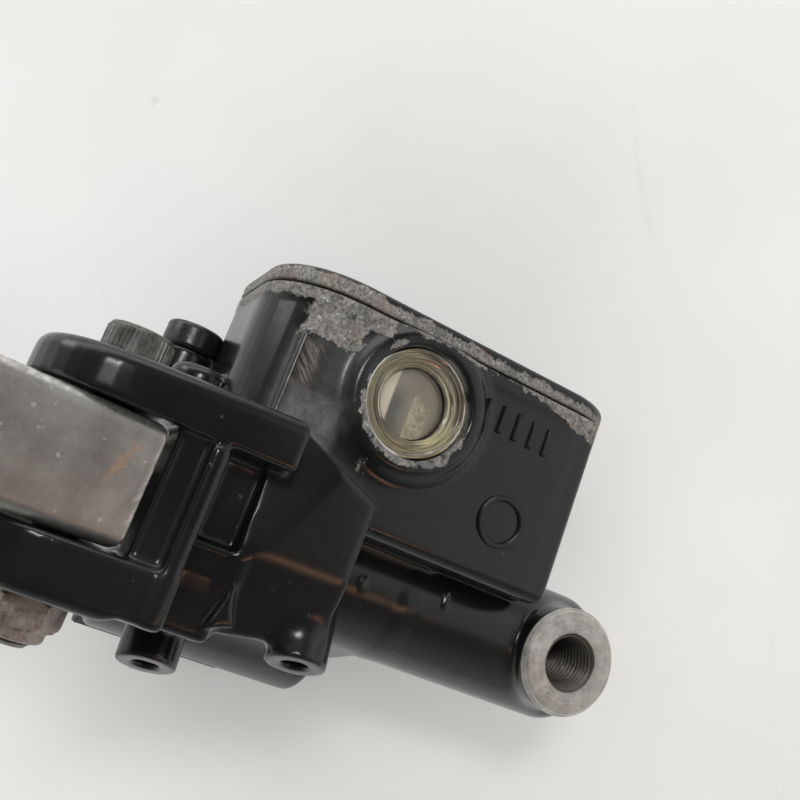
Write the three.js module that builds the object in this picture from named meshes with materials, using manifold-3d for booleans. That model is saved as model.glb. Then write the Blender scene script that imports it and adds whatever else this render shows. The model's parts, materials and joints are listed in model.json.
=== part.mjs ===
// Front brake master cylinder for a 22 mm motorcycle handlebar: a die-cast body that carries the
// bore, the fluid reservoir, the lever perch and half of the handlebar clamp, with every loose
// piece as a mesh of its own. Millimetres. +X runs along the bore towards the hose outlet, +Z
// points to the reservoir cover and -Y is the side of the sight glass and of the hose seat.
// Shapes are laid out about the bore axis, and the outer group moves the origin to the centre
// of the handlebar clamp.
import * as THREE from 'three';
import { mergeVertices } from 'three/addons/utils/BufferGeometryUtils.js';
import Module from 'manifold-3d';

const wasm = await Module();
wasm.setup();

// Driving dimensions.
const GAP = 0.3; // clearance between pieces that touch
const HALF = 0.5;
const FINE = 32; // sides of a large round face
const COARSE = 20; // sides of a small round face

const BORE_R = 7;
const BORE_END_X = -10;
const MOUTH_X = -70; // open end of the bore housing
const MOUTH_R = 9;
const MOUTH_DEPTH = 2.6;
const BARREL_R = 11.3;

const HOSE_SEAT_Y = -14.5; // machined face that seals the banjo fitting
const HOSE_SEAT_R = 8.1;
const HOSE_THREAD_R = 4.35;

const TANK = { x0: -70.4, x1: -10.2, y: 20.2, z0: 6.5, z1: 38, wall: 3, floorZ: 13 };
const RIM = { x0: -71, x1: -8, y: 20.5, z0: 34.5, rLeft: 13, rRight: 11 };
const REBATE_DEPTH = 1.2;
const COVER_TOP_Z = 41.2;
const COVER_SCREWS_X = [-63.4, -16.6];

const GLASS = { x: -45, z: 27.7, bossR: 10.8, recessR: 8.6, eyeR: 5.6, faceY: -21.6 };

const PIVOT = { x: -85.5, y: -18, r: 3 };
const PIVOT_SEAT_Z = 15.8;
const EAR = { r: 12, gapZ0: -7.9, gapZ1: 9.8, bottomZ: -16.1, frontY: -30 };
const WALL = { x0: -77.2, x1: -70.2, backY: -19 };
const BLOCK = { x0: -63.3, x1: -46.5, frontY: -24.5 };
const POCKET_Y = -22; // back of the pocket between the wall and the block

const BAR_R = 11.1; // half of the 22.2 mm handlebar
const CLAMP = { x0: -70, x1: -38, y: 38.5, z: -8.5, outerR: 16.3, tilt: 40, boltT: 17.3 };
const ARCH_X1 = -27; // the casting's half of the clamp runs on past the cap

const MIRROR = { x: -75.1, y: 12, r: 5.2, topZ: 25.8, holeR: 3.9 };
const SWITCH_TILT = 22; // lean of the switch bosses from the vertical, degrees
const SWITCH_BOSSES = [
  { x: -65.5, y: -8, z: -22, length: 12 },
  { x: -48.3, y: -20, z: -14.3, length: 13 },
];

const AXIS_TURN = {
  x: new THREE.Matrix4().makeRotationY(Math.PI * HALF), // local +Z to +X
  y: new THREE.Matrix4().makeRotationX(-Math.PI * HALF), // local +Z to +Y
  z: new THREE.Matrix4(),
};

// ---- from three.js geometry to closed solids and back ------------------------------------

function solid(geometry) {
  const bare = geometry.clone();
  bare.deleteAttribute('normal');
  bare.deleteAttribute('uv');
  const welded = mergeVertices(bare, 1e-5);
  const points = welded.attributes.position.array;
  const kept = [];
  const index = welded.index.array;
  const corner = [new THREE.Vector3(), new THREE.Vector3(), new THREE.Vector3()];
  let volume = 0;
  for (let i = 0; i < index.length; i += 3) {
    const [a, b, c] = [index[i], index[i + 1], index[i + 2]];
    if (a === b || b === c || c === a) continue;
    kept.push(a, b, c);
    [a, b, c].forEach((v, k) => corner[k].fromArray(points, 3 * v));
    volume += corner[0].dot(corner[1].cross(corner[2]));
  }
  if (volume < 0) kept.reverse();
  const mesh = new wasm.Mesh({
    numProp: 3,
    vertProperties: new Float32Array(points),
    triVerts: new Uint32Array(kept),
  });
  return new wasm.Manifold(mesh);
}

function toGeometry(manifold) {
  const mesh = manifold.getMesh();
  const geometry = new THREE.BufferGeometry();
  const position = new Float32Array(mesh.vertProperties);
  geometry.setAttribute('position', new THREE.BufferAttribute(position, 3));
  geometry.setIndex(new THREE.BufferAttribute(new Uint32Array(mesh.triVerts), 1));
  geometry.computeVertexNormals();
  return geometry;
}

const join = (...pieces) => pieces.reduce((a, b) => a.add(b));
const cut = (whole, ...pieces) => pieces.reduce((a, b) => a.subtract(b), whole);

// ---- primitive shapes ---------------------------------------------------------------------

function box(x0, x1, y0, y1, z0, z1) {
  const geometry = new THREE.BoxGeometry(x1 - x0, y1 - y0, z1 - z0);
  geometry.translate((x0 + x1) * HALF, (y0 + y1) * HALF, (z0 + z1) * HALF);
  return solid(geometry);
}

// Round shape about an axis through `at`: profile holds [radius, distance along the axis].
function turned(axis, at, profile, sides = FINE) {
  const geometry = new THREE.LatheGeometry(profile.map(([r, t]) => new THREE.Vector2(r, t)), sides);
  geometry.rotateX(Math.PI * HALF);
  geometry.applyMatrix4(AXIS_TURN[axis]);
  geometry.translate(...at);
  return solid(geometry);
}

const rod = (axis, at, r, t0, t1, sides = FINE) =>
  turned(axis, at, [[0, t0], [r, t0], [r, t1], [0, t1]], sides);

const ring = (axis, at, rIn, rOut, t0, t1, sides = FINE) =>
  turned(axis, at, [[rIn, t0], [rOut, t0], [rOut, t1], [rIn, t1], [rIn, t0]], sides);

// Flat outline in X and Y, raised from z0 to z1.
function plate(shape, z0, z1, curveSegments = 8) {
  const geometry = new THREE.ExtrudeGeometry(shape, { depth: z1 - z0, bevelEnabled: false, curveSegments });
  geometry.translate(0, 0, z0);
  return solid(geometry);
}

// Flat outline in X and Z, running from y0 to y1.
function slab(points, y0, y1) {
  const shape = new THREE.Shape(points.map(([x, z]) => new THREE.Vector2(x, z)));
  const geometry = new THREE.ExtrudeGeometry(shape, { depth: y1 - y0, bevelEnabled: false });
  geometry.rotateX(Math.PI * HALF);
  geometry.translate(0, y1, 0);
  return solid(geometry);
}

// Flat outline in Y and Z, running from x0 to x1.
function rail(points, x0, x1) {
  const shape = new THREE.Shape(points.map(([y, z]) => new THREE.Vector2(y, z)));
  const geometry = new THREE.ExtrudeGeometry(shape, { depth: x1 - x0, bevelEnabled: false });
  geometry.applyMatrix4(new THREE.Matrix4().set(0, 0, 1, 0, 1, 0, 0, 0, 0, 1, 0, 0, 0, 0, 0, 1));
  geometry.translate(x0, 0, 0);
  return solid(geometry);
}

function roundedOutline(x0, x1, y, rLeft, rRight) {
  const shape = new THREE.Shape();
  shape.moveTo(x0 + rLeft, -y);
  shape.lineTo(x1 - rRight, -y);
  shape.absarc(x1 - rRight, -y + rRight, rRight, -Math.PI * HALF, 0);
  shape.lineTo(x1, y - rRight);
  shape.absarc(x1 - rRight, y - rRight, rRight, 0, Math.PI * HALF);
  shape.lineTo(x0 + rLeft, y);
  shape.absarc(x0 + rLeft, y - rLeft, rLeft, Math.PI * HALF, Math.PI);
  shape.lineTo(x0, -y + rLeft);
  shape.absarc(x0 + rLeft, -y + rLeft, rLeft, Math.PI, 1.5 * Math.PI);
  return shape;
}

// The reservoir rim's outline, drawn in by `inset`.
const rimOutline = (inset) =>
  roundedOutline(RIM.x0 + inset, RIM.x1 - inset, RIM.y - inset, RIM.rLeft - inset, RIM.rRight - inset);

function move(manifold, matrix) {
  return solid(toGeometry(manifold).applyMatrix4(matrix));
}

// ---- body casting -------------------------------------------------------------------------

function reservoirWalls() {
  const outer = plate(roundedOutline(TANK.x0, TANK.x1, TANK.y, 12.5, 8), TANK.z0, TANK.z1);
  const rim = plate(rimOutline(0), RIM.z0, TANK.z1);
  const glassFace = rod('y', [GLASS.x, 0, GLASS.z], GLASS.bossR, GLASS.faceY, -TANK.y + 1);
  return join(outer, rim, glassFace);
}

const reservoirHollow = () => plate(
  roundedOutline(TANK.x0 + TANK.wall, TANK.x1 - TANK.wall, TANK.y - TANK.wall, 9.5, 5),
  TANK.floorZ, TANK.z1 + 1);

// The seat behind the sight glass and the two columns for the cover screws stand in the hollow.
function reservoirInside() {
  const glassSeat = rod('y', [GLASS.x, 0, GLASS.z], 10, -TANK.y + 1, HOSE_SEAT_Y);
  const columns = COVER_SCREWS_X.map((x) => rod('z', [x, 0, 0], 4.2, TANK.floorZ - 1, TANK.z1, COARSE));
  return join(glassSeat, ...columns);
}

function earPlan(endX, backX, backY) {
  const shape = new THREE.Shape();
  shape.moveTo(endX, EAR.frontY);
  shape.lineTo(endX, 6);
  shape.lineTo(-66, backY);
  shape.lineTo(backX, backY);
  shape.lineTo(backX, -4);
  shape.lineTo(PIVOT.x, PIVOT.y + EAR.r);
  shape.absarc(PIVOT.x, PIVOT.y, EAR.r, Math.PI * HALF, 1.5 * Math.PI);
  shape.lineTo(endX, EAR.frontY);
  return shape;
}

function leverPerch() {
  const upper = plate(earPlan(-61.5, -81, MIRROR.y + MIRROR.r), EAR.gapZ1, 18);
  const upperSide = slab([[-99, EAR.gapZ1], [-61, EAR.gapZ1], [-61, 17.3], [-99, 15.6]], -31, 20);
  const lower = cut(
    plate(earPlan(-62.6, -80, 14), EAR.bottomZ, EAR.gapZ0),
    box(WALL.x1, BLOCK.x0 + 3, EAR.frontY - 1, POCKET_Y, EAR.bottomZ - 1, EAR.gapZ0 + 1));
  const wall = box(WALL.x0, WALL.x1, EAR.frontY + 1, WALL.backY, EAR.bottomZ, EAR.gapZ1 + 1);
  const recessed = box(WALL.x1 - 1, BLOCK.x0 + 1, POCKET_Y, -6, EAR.bottomZ, EAR.gapZ1 + 1);
  const block = slab(
    [[BLOCK.x0, -14], [BLOCK.x1, -11.2], [BLOCK.x1, 10.8], [-60, 16.5], [BLOCK.x0, 16.5]],
    BLOCK.frontY, 6);
  const foot = box(-80, -57, -14, 8, -17.9, EAR.bottomZ + 1);
  const lug = turned('z', [-74.5, -3, 0], [[0, 12], [4, 12], [4, 18.6], [3, 20.9], [0, 21.9]], COARSE);
  const mirrorBoss = rod('z', [MIRROR.x, MIRROR.y, 0], MIRROR.r, 9.5, MIRROR.topZ);
  return join(upper.intersect(upperSide), lower, wall, recessed, block, foot, lug, mirrorBoss);
}

// Local frame of the handlebar clamp: its split plane holds the X axis and leans back by `tilt`.
function clampPoint(t, n) {
  const a = THREE.MathUtils.degToRad(CLAMP.tilt);
  return [CLAMP.y + t * Math.cos(a) + n * Math.sin(a), CLAMP.z - t * Math.sin(a) + n * Math.cos(a)];
}

function clampBar(t0, t1, n0, n1, x0 = CLAMP.x0, x1 = CLAMP.x1) {
  return rail([clampPoint(t0, n0), clampPoint(t1, n0), clampPoint(t1, n1), clampPoint(t0, n1)], x0, x1);
}

function clampHole(r, n0, n1, x, t) {
  const hole = rod('z', [0, 0, 0], r, n0, n1, COARSE);
  const [y, z] = clampPoint(t, 0);
  const turn = new THREE.Matrix4().makeRotationX(THREE.MathUtils.degToRad(-CLAMP.tilt));
  return move(hole, turn.setPosition(x, y, z));
}

// One bolt on each side of the handlebar, midway along the clamp.
const CLAMP_MID_X = (CLAMP.x0 + CLAMP.x1) * HALF;
const clampBoltPlaces = () => [-1, 1].map((side) => ({ x: CLAMP_MID_X, t: side * CLAMP.boltT }));

function bodyClamp() {
  const at = [0, CLAMP.y, CLAMP.z];
  const arch = rod('x', at, CLAMP.outerR, CLAMP.x0, ARCH_X1).intersect(clampBar(-30, 30, -30, -GAP, CLAMP.x0, ARCH_X1));
  const lugs = clampBar(-22.6, 22.6, -6.2, -GAP);
  const web = rail([[2, -11], [27, -17], [27, 7.5], [2, 9]], CLAMP.x0 + 2, ARCH_X1 - 1);
  return join(arch, lugs, web).intersect(clampBar(-60, 30, -60, -GAP, CLAMP.x0 - 1, ARCH_X1 + 1));
}

function switchFrame(boss) {
  const lean = THREE.MathUtils.degToRad(-SWITCH_TILT);
  return new THREE.Matrix4().makeRotationX(lean).setPosition(boss.x, boss.y, boss.z);
}

function bodyCasting() {
  const barrel = turned('x', [0, 0, 0], [
    [0, MOUTH_X], [BARREL_R, MOUTH_X], [BARREL_R, 1.5], [10.5, 5], [8, 7.8], [4.4, 9.4], [0, 9.8],
  ], 40);
  const hoseBoss = turned('y', [0, 0, 0], [
    [0, HOSE_SEAT_Y], [HOSE_SEAT_R, HOSE_SEAT_Y], [HOSE_SEAT_R + 0.9, HOSE_SEAT_Y + 1], [9, 4], [0, 4],
  ]);
  const bosses = SWITCH_BOSSES.map((boss) =>
    move(rod('z', [0, 0, 0], 4.5, 0, boss.length, COARSE), switchFrame(boss)));
  const saddle = box(-66, -14, -8, 8, 0, TANK.z0 + 1);
  const outside = join(barrel, hoseBoss, saddle, reservoirWalls(), leverPerch(), bodyClamp(), ...bosses);
  const casting = cut(outside, reservoirHollow()).add(reservoirInside());

  const glassAt = [GLASS.x, 0, GLASS.z];
  const cuts = [
    // bore, its mouth and the drilling to the hose outlet
    rod('x', [0, 0, 0], BORE_R, MOUTH_X - 1, BORE_END_X, 40),
    rod('x', [0, 0, 0], MOUTH_R, MOUTH_X - 8, MOUTH_X + MOUTH_DEPTH),
    rod('x', [0, 0, 0], 1.5, BORE_END_X - 1, 1, 12),
    turned('y', [0, 0, 0], [
      [0, HOSE_SEAT_Y - 1], [5.6, HOSE_SEAT_Y - 1], [HOSE_THREAD_R, HOSE_SEAT_Y + 0.6], [HOSE_THREAD_R, 3], [0, 4.5],
    ]),
    // feed and compensating ports
    rod('z', [-52, 0, 0], 1.6, 4, TANK.floorZ + 1, 12),
    rod('z', [-39.4, 0, 0], 0.7, 4, TANK.floorZ + 1, 8),
    // seats at the reservoir rim
    box(RIM.x0, RIM.x1, GLASS.faceY - 1, RIM.y, TANK.z1, TANK.z1 + 3),
    plate(rimOutline(1.9), TANK.z1 - REBATE_DEPTH, TANK.z1 + 1),
    ...COVER_SCREWS_X.map((x) => rod('z', [x, 0, 0], 2.1, 24, TANK.z1 + 1, 16)),
    rod('y', glassAt, GLASS.recessR, GLASS.faceY - 1, -16.4),
    rod('y', glassAt, GLASS.eyeR, -17, HOSE_SEAT_Y + 1),
    // lever pivot
    rod('z', [PIVOT.x, PIVOT.y, 0], PIVOT.r + GAP, -20, 20, COARSE),
    rod('z', [PIVOT.x, PIVOT.y, 0], 5.6, PIVOT_SEAT_Z, 20),
    // handlebar passage, with its bolt holes
    rod('x', [0, CLAMP.y, CLAMP.z], BAR_R + 0.1, CLAMP.x0 - 20, CLAMP.x1 + 20, 40),
    ...clampBoltPlaces().map(({ x, t }) => clampHole(3.2, -8.5, 1, x, t)),
    // mirror and switch threads
    rod('z', [MIRROR.x, MIRROR.y, 0], MIRROR.holeR, 14, MIRROR.topZ + 1, COARSE),
    ...SWITCH_BOSSES.map((boss) => move(rod('z', [0, 0, 0], 1.9, -1, 8, 16), switchFrame(boss))),
  ];
  return cut(casting, ...cuts);
}

// ---- reservoir closure --------------------------------------------------------------------

const screwHoles = (r, z0, z1) => COVER_SCREWS_X.map((x) => rod('z', [x, 0, 0], r, z0, z1, 16));

function reservoirCover() {
  const base = TANK.z1 + GAP;
  const body = join(plate(rimOutline(0), base, COVER_TOP_Z - 1), plate(rimOutline(1), COVER_TOP_Z - 2, COVER_TOP_Z));
  const sinks = COVER_SCREWS_X.map((x) => turned('z', [x, 0, 0], [
    [0, COVER_TOP_Z - 2.6], [2.3, COVER_TOP_Z - 2.6], [4.6, COVER_TOP_Z - 0.1], [4.6, COVER_TOP_Z + 1], [0, COVER_TOP_Z + 1],
  ], COARSE));
  return cut(body, plate(rimOutline(2.4), base - 1, base + 1.7), ...screwHoles(2.3, base, COVER_TOP_Z), ...sinks);
}

function reservoirDiaphragm() {
  const top = TANK.z1;
  const flange = plate(rimOutline(2.2), top - REBATE_DEPTH + GAP, top);
  const cup = plate(roundedOutline(-58, -22, 13, 8, 8), 27, top - 0.5);
  const hollow = plate(roundedOutline(-56.8, -23.2, 11.8, 6.8, 6.8), 28.2, top + 1);
  return cut(join(flange, cup), hollow, ...screwHoles(3, top - 2, top + 1));
}

function diaphragmPlate() {
  const z0 = TANK.z1 + GAP;
  const vent = plate(roundedOutline(-48, -32, 3, 3, 3), z0 - 1, z0 + 2);
  return cut(plate(rimOutline(2.8), z0, z0 + 1.2), vent, ...screwHoles(3.6, z0 - 1, z0 + 2));
}

// Countersunk screw, built with the top of its head at z = 0.
function coverScrew() {
  const body = turned('z', [0, 0, 0], [[0, -15], [1.7, -15], [1.8, -2.4], [4.1, -0.2], [4.1, 0], [0, 0]], COARSE);
  return cut(body, box(-2.2, 2.2, -0.4, 0.4, -1.4, 1), box(-0.4, 0.4, -2.2, 2.2, -1.4, 1));
}

function splashPlate() {
  const z0 = TANK.floorZ + GAP;
  const sheet = plate(roundedOutline(-57, -34.5, 6, 2, 2), z0, z0 + 0.8);
  return cut(sheet, rod('z', [-46, 0, 0], 1.6, z0 - 1, z0 + 2, 12));
}

// ---- sight glass --------------------------------------------------------------------------

const glassAt = [GLASS.x, 0, GLASS.z];
const sightLens = () =>
  turned('y', glassAt, [[0, -20.6], [5.6, -20.6], [6.2, -21.1], [7.7, -21.1], [8.3, -20.7], [8.3, -17.9], [0, -17.9]]);
const sightReflector = () => rod('y', glassAt, 6.2, -17.6, -16.8);

function sightSeal() {
  const profile = [];
  for (let i = 0; i <= 8; i += 1) {
    const a = (2 * Math.PI * i) / 8;
    profile.push([7.5 + 0.48 * Math.cos(a), -17.15 + 0.48 * Math.sin(a)]);
  }
  return turned('y', glassAt, profile);
}

// ---- inside the bore ----------------------------------------------------------------------

const boreAt = [0, 0, 0];

function piston() {
  return turned('x', boreAt, [
    [0, -76.3], [3.6, -76.3], [4.5, -75.5], [4.5, -67.2], [6.8, -67.2], [6.8, -64], [4.2, -64], [4.2, -60.6],
    [6.8, -60.6], [6.8, -58], [4.4, -57], [4.4, -47], [6.8, -46], [6.8, -44], [3, -44], [3, -39.6], [0, -39.6],
  ]);
}

const cup = (x, rIn) => turned('x', boreAt, [
  [rIn, x], [6.4, x], [6.85, x + 2.9], [6.1, x + 2.9], [5.3, x + 1.3], [rIn, x + 1.3], [rIn, x],
]);

const springSeat = () => cut(
  turned('x', boreAt, [[0, -39.2], [6.2, -39.2], [6.2, -38.2], [3.8, -38.2], [3.4, -35.5], [0, -35.5]]),
  rod('x', boreAt, 1.2, -40, -34, 12),
);

const stopWasher = () => ring('x', boreAt, 4.9, 8.6, -69.2, -67.7);
const circlip = () => cut(
  ring('x', boreAt, 7.3, 8.8, -69.95, -69.5, COARSE), box(-71, -69, -1.6, 1.6, -9, -5));

function dustBoot() {
  return turned('x', boreAt, [
    [7.2, -70.3], [6.3, -71.4], [7.4, -72.3], [5.9, -73.2], [6.6, -74.1], [4.9, -74.9], [4.9, -75.6],
    [5.9, -75.6], [7.7, -74.2], [7, -73.3], [8.4, -72.3], [7.4, -71.4], [8.6, -70.3], [7.2, -70.3],
  ]);
}

class Helix extends THREE.Curve {
  constructor(r, x0, x1, turns) {
    super();
    Object.assign(this, { r, x0, x1, turns });
  }

  getPoint(t, target = new THREE.Vector3()) {
    const a = 2 * Math.PI * this.turns * t;
    return target.set(this.x0 + (this.x1 - this.x0) * t, this.r * Math.cos(a), this.r * Math.sin(a));
  }
}

function returnSpring() {
  const wire = new THREE.Shape().absarc(0, 0, 0.6, 0, 2 * Math.PI);
  const turns = 8;
  return solid(new THREE.ExtrudeGeometry(wire, {
    steps: turns * 11,
    curveSegments: 3,
    bevelEnabled: false,
    extrudePath: new Helix(5.2, -37.3, BORE_END_X - 1, turns),
  }));
}

// ---- lever and pivot ----------------------------------------------------------------------

const LEVER_Z = { low: -7.5, high: 9.4 };

function leverPlan() {
  const shape = new THREE.Shape();
  shape.moveTo(-78.3, -28);
  shape.lineTo(-78.3, -13);
  shape.lineTo(-77.4, -4);
  shape.quadraticCurveTo(-75.9, 0.6, -78.4, 3.4);
  shape.lineTo(-81, 4.4);
  shape.quadraticCurveTo(-88, -3, -95, -9.5);
  shape.quadraticCurveTo(-104, -18, -116, -21.5);
  shape.quadraticCurveTo(-160, -28, -205, -16);
  shape.quadraticCurveTo(-232, -7, -248, -3.5);
  shape.lineTo(-251, -11.5);
  shape.quadraticCurveTo(-226, -17, -205, -24.5);
  shape.quadraticCurveTo(-160, -39, -118, -33.5);
  shape.quadraticCurveTo(-108, -31.4, -78.3, -28);
  return shape;
}

function brakeLever() {
  const plan = plate(leverPlan(), LEVER_Z.low, LEVER_Z.high, 7);
  const side = slab([
    [-74, LEVER_Z.low - 1], [-74, LEVER_Z.high + 1], [-106, LEVER_Z.high + 1], [-107, LEVER_Z.high], [-132, 6.6],
    [-255, 6], [-255, -4.2], [-132, -4.8], [-107, LEVER_Z.low], [-106, LEVER_Z.low - 1],
  ], -50, 20);
  const ball = new THREE.SphereGeometry(8.2, 20, 12);
  ball.translate(-252, -6.5, 0.9);
  const noseSides = [box(-79, -74, -9, 8, 4.5, 12), box(-79, -74, -9, 8, -12, -4.5)];
  const body = join(plan.intersect(side), solid(ball));
  return cut(body, ...noseSides, rod('z', [PIVOT.x, PIVOT.y, 0], 5, -20, 20));
}

const leverBush = () => ring('z', [0, 0, 0], PIVOT.r + 0.15, 4.7, LEVER_Z.low, LEVER_Z.high);

// Socket-head screw with its head's underside at z = 0 and its shank below.
function socketScrew(r, headR, headHeight, length) {
  const body = turned('z', [0, 0, 0], [
    [0, -length], [r - 0.5, -length], [r, 0.5 - length], [r, 0], [headR, 0], [headR, headHeight - 0.5],
    [headR - 0.5, headHeight], [0, headHeight],
  ], FINE);
  const socket = rod('z', [0, 0, 0], r * 0.96, headHeight * 0.45, headHeight + 1, 6);
  return cut(body, socket);
}

const NUT = { topZ: EAR.bottomZ - GAP, height: 4.3, collar: 1.4 };

function pivotNut() {
  const hex = rod('z', [0, 0, 0], 5.75, -NUT.height, 0, 6);
  const round = turned('z', [0, 0, 0], [
    [0, -NUT.height - NUT.collar], [3.9, -NUT.height - NUT.collar], [4.3, -NUT.height - NUT.collar + 0.5],
    [5.1, 0.4 - NUT.height], [5.9, 1.4 - NUT.height], [5.9, -0.9], [5.3, 0], [0, 0],
  ], FINE);
  const collar = rod('z', [0, 0, 0], 4.3, -NUT.height - NUT.collar, -NUT.height + 1, FINE);
  return cut(join(hex, collar).intersect(round), rod('z', [0, 0, 0], PIVOT.r + GAP, -10, 2, COARSE));
}

// ---- handlebar clamp and mirror boss ------------------------------------------------------

function clampCap() {
  const at = [0, CLAMP.y, CLAMP.z];
  const arch = rod('x', at, 15, CLAMP.x0 + 3, CLAMP.x1 - 3).intersect(clampBar(-30, 30, GAP, 30));
  const lugs = clampBar(-22.6, 22.6, GAP, 6.5, CLAMP.x0 + 3, CLAMP.x1 - 3);
  const holes = clampBoltPlaces().map(({ x, t }) => clampHole(3.3, -1, 20, x, t));
  const seats = clampBoltPlaces().map(({ x, t }) => clampHole(5.6, 6.5, 20, x, t));
  return cut(join(arch, lugs), rod('x', at, BAR_R + 0.1, CLAMP.x0, CLAMP.x1, 40), ...holes, ...seats);
}

const mirrorPlug = () => turned('z', [0, 0, 0], [
  [0, -9], [3.1, -9], [3.6, -8], [3.6, 0], [4.7, 0], [4.7, 0.6], [5, 0.8], [5, 3.8], [4.4, 4.4], [0, 4.5],
]);

// ---- assembly -----------------------------------------------------------------------------

const FINISHES = {
  blackPaint: { color: 0x262928, roughness: 0.32, metalness: 0.1 },
  coverPaint: { color: 0x1f2221, roughness: 0.45, metalness: 0.1 },
  brushed: { color: 0xa09a94, roughness: 0.38, metalness: 1 },
  steel: { color: 0x6b5f59, roughness: 0.5, metalness: 0.9 },
  oxide: { color: 0x2e2c2a, roughness: 0.45, metalness: 0.8 },
  zinc: { color: 0xa5a29a, roughness: 0.35, metalness: 0.9 },
  rubber: { color: 0x151616, roughness: 0.75, metalness: 0 },
  nylon: { color: 0x23241f, roughness: 0.6, metalness: 0 },
  lens: { color: 0xcfc39a, roughness: 0.1, metalness: 0 },
  bronze: { color: 0x9a7442, roughness: 0.4, metalness: 0.9 },
};

const layout = new THREE.Group();
layout.position.set(-CLAMP_MID_X, -CLAMP.y, -CLAMP.z);

function addPart(name, manifold, finish, place = [0, 0, 0], turnX = 0) {
  const mesh = new THREE.Mesh(toGeometry(manifold), new THREE.MeshStandardMaterial(FINISHES[finish]));
  mesh.name = name;
  mesh.position.set(...place);
  mesh.rotation.x = turnX;
  layout.add(mesh);
}

addPart('body_casting', bodyCasting(), 'blackPaint');
addPart('reservoir_cover', reservoirCover(), 'coverPaint');
addPart('reservoir_diaphragm', reservoirDiaphragm(), 'rubber');
addPart('diaphragm_plate', diaphragmPlate(), 'nylon');
COVER_SCREWS_X.forEach((x, i) =>
  addPart(`cover_screw_${i + 1}`, coverScrew(), 'zinc', [x, 0, COVER_TOP_Z - 0.1]));
addPart('splash_plate', splashPlate(), 'zinc');

addPart('sight_lens', sightLens(), 'lens');
addPart('sight_seal', sightSeal(), 'rubber');
addPart('sight_reflector', sightReflector(), 'zinc');

addPart('piston', piston(), 'brushed');
addPart('secondary_cup', cup(-63.7, 4.5), 'rubber');
addPart('primary_cup', cup(-43.7, 3.3), 'rubber');
addPart('spring_seat', springSeat(), 'zinc');
addPart('return_spring', returnSpring(), 'zinc');
addPart('stop_washer', stopWasher(), 'zinc');
addPart('piston_circlip', circlip(), 'steel');
addPart('dust_boot', dustBoot(), 'rubber');

addPart('brake_lever', brakeLever(), 'brushed');
addPart('lever_bush', leverBush(), 'bronze', [PIVOT.x, PIVOT.y, 0]);
const pivotBoltZ = PIVOT_SEAT_Z + GAP;
const pivotBoltLength = pivotBoltZ - NUT.topZ + NUT.height + NUT.collar + 0.9;
addPart('pivot_bolt', socketScrew(PIVOT.r, 4.8, 4.6, pivotBoltLength), 'oxide', [PIVOT.x, PIVOT.y, pivotBoltZ]);
addPart('pivot_nut', pivotNut(), 'steel', [PIVOT.x, PIVOT.y, NUT.topZ]);

addPart('clamp_cap', clampCap(), 'blackPaint');
const CLAMP_HEAD_N = 6.8;
clampBoltPlaces().forEach(({ x, t }, i) => {
  const [y, z] = clampPoint(t, CLAMP_HEAD_N);
  const turn = THREE.MathUtils.degToRad(-CLAMP.tilt);
  addPart(`clamp_bolt_${i + 1}`, socketScrew(2.9, 5, 6, 14), 'zinc', [x, y, z], turn);
});
addPart('mirror_plug', mirrorPlug(), 'rubber', [MIRROR.x, MIRROR.y, MIRROR.topZ + GAP]);

const masterCylinder = new THREE.Group();
masterCylinder.add(layout);
export default masterCylinder;
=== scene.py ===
"""Brake master cylinder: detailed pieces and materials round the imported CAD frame."""
import json
import math

import bmesh
import bpy
import numpy as np
from mathutils import Matrix, Vector


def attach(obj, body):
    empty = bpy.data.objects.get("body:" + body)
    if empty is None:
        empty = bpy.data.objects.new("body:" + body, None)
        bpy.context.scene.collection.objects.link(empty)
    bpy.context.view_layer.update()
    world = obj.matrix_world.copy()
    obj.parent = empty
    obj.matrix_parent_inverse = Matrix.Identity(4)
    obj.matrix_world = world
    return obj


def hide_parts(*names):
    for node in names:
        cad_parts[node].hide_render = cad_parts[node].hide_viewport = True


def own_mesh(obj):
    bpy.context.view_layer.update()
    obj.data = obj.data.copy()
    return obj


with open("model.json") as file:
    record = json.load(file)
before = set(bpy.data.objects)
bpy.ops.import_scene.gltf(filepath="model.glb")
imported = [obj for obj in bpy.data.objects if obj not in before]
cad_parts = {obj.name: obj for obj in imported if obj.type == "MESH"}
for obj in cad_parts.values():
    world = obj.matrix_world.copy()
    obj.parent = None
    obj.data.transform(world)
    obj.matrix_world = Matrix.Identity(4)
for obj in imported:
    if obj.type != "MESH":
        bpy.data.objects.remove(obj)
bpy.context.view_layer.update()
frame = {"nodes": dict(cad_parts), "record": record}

NODES = frame["nodes"]
MOUNTS = {m["name"]: m for m in frame["record"]["mounts"]}

# Shapes are written in millimetres about the bore axis. HOSE_POINT is where the hose seat's mount
# lies in those terms, and it fixes the step to the frame's own origin.
HOSE_POINT = np.array([0.0, -14.5, 6.5])
ORIGIN = np.array(MOUNTS["hose_seat"]["pos_m"]) * 1000 - HOSE_POINT

STEP = 0.4  # grid step of the cast shapes
OFF_GRID = (0.13, 0.17, 0.11)  # keeps flat faces off the grid's planes
MARGIN = 4.0  # how far round a shape its distance is worked out
FAR = 99.0  # distance where nothing has been worked out
FOUND_STEPS = 2  # how often surface points are moved onto the surface
PER_MM = 1000.0  # noise scales are written per millimetre and used per metre
SHARP = 28  # angle in degrees from which an edge is shaded sharp


# ---- cast shapes: signed distances on a grid, joined with fillets ----

def smooth_min(a, b, k):
    if not k:
        return np.minimum(a, b)
    h = np.maximum(k - np.abs(a - b), 0) / k
    return np.minimum(a, b) - h * h * k * 0.25


def smooth_max(a, b, k):
    return -smooth_min(-a, -b, k)


def rounded(plan, height, r):
    """Distance to an upright shape from its distances in plan and in height, edges rounded by r."""
    a, b = plan + r, height + r
    return np.minimum(np.maximum(a, b), 0) + np.hypot(np.maximum(a, 0), np.maximum(b, 0)) - r


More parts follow.
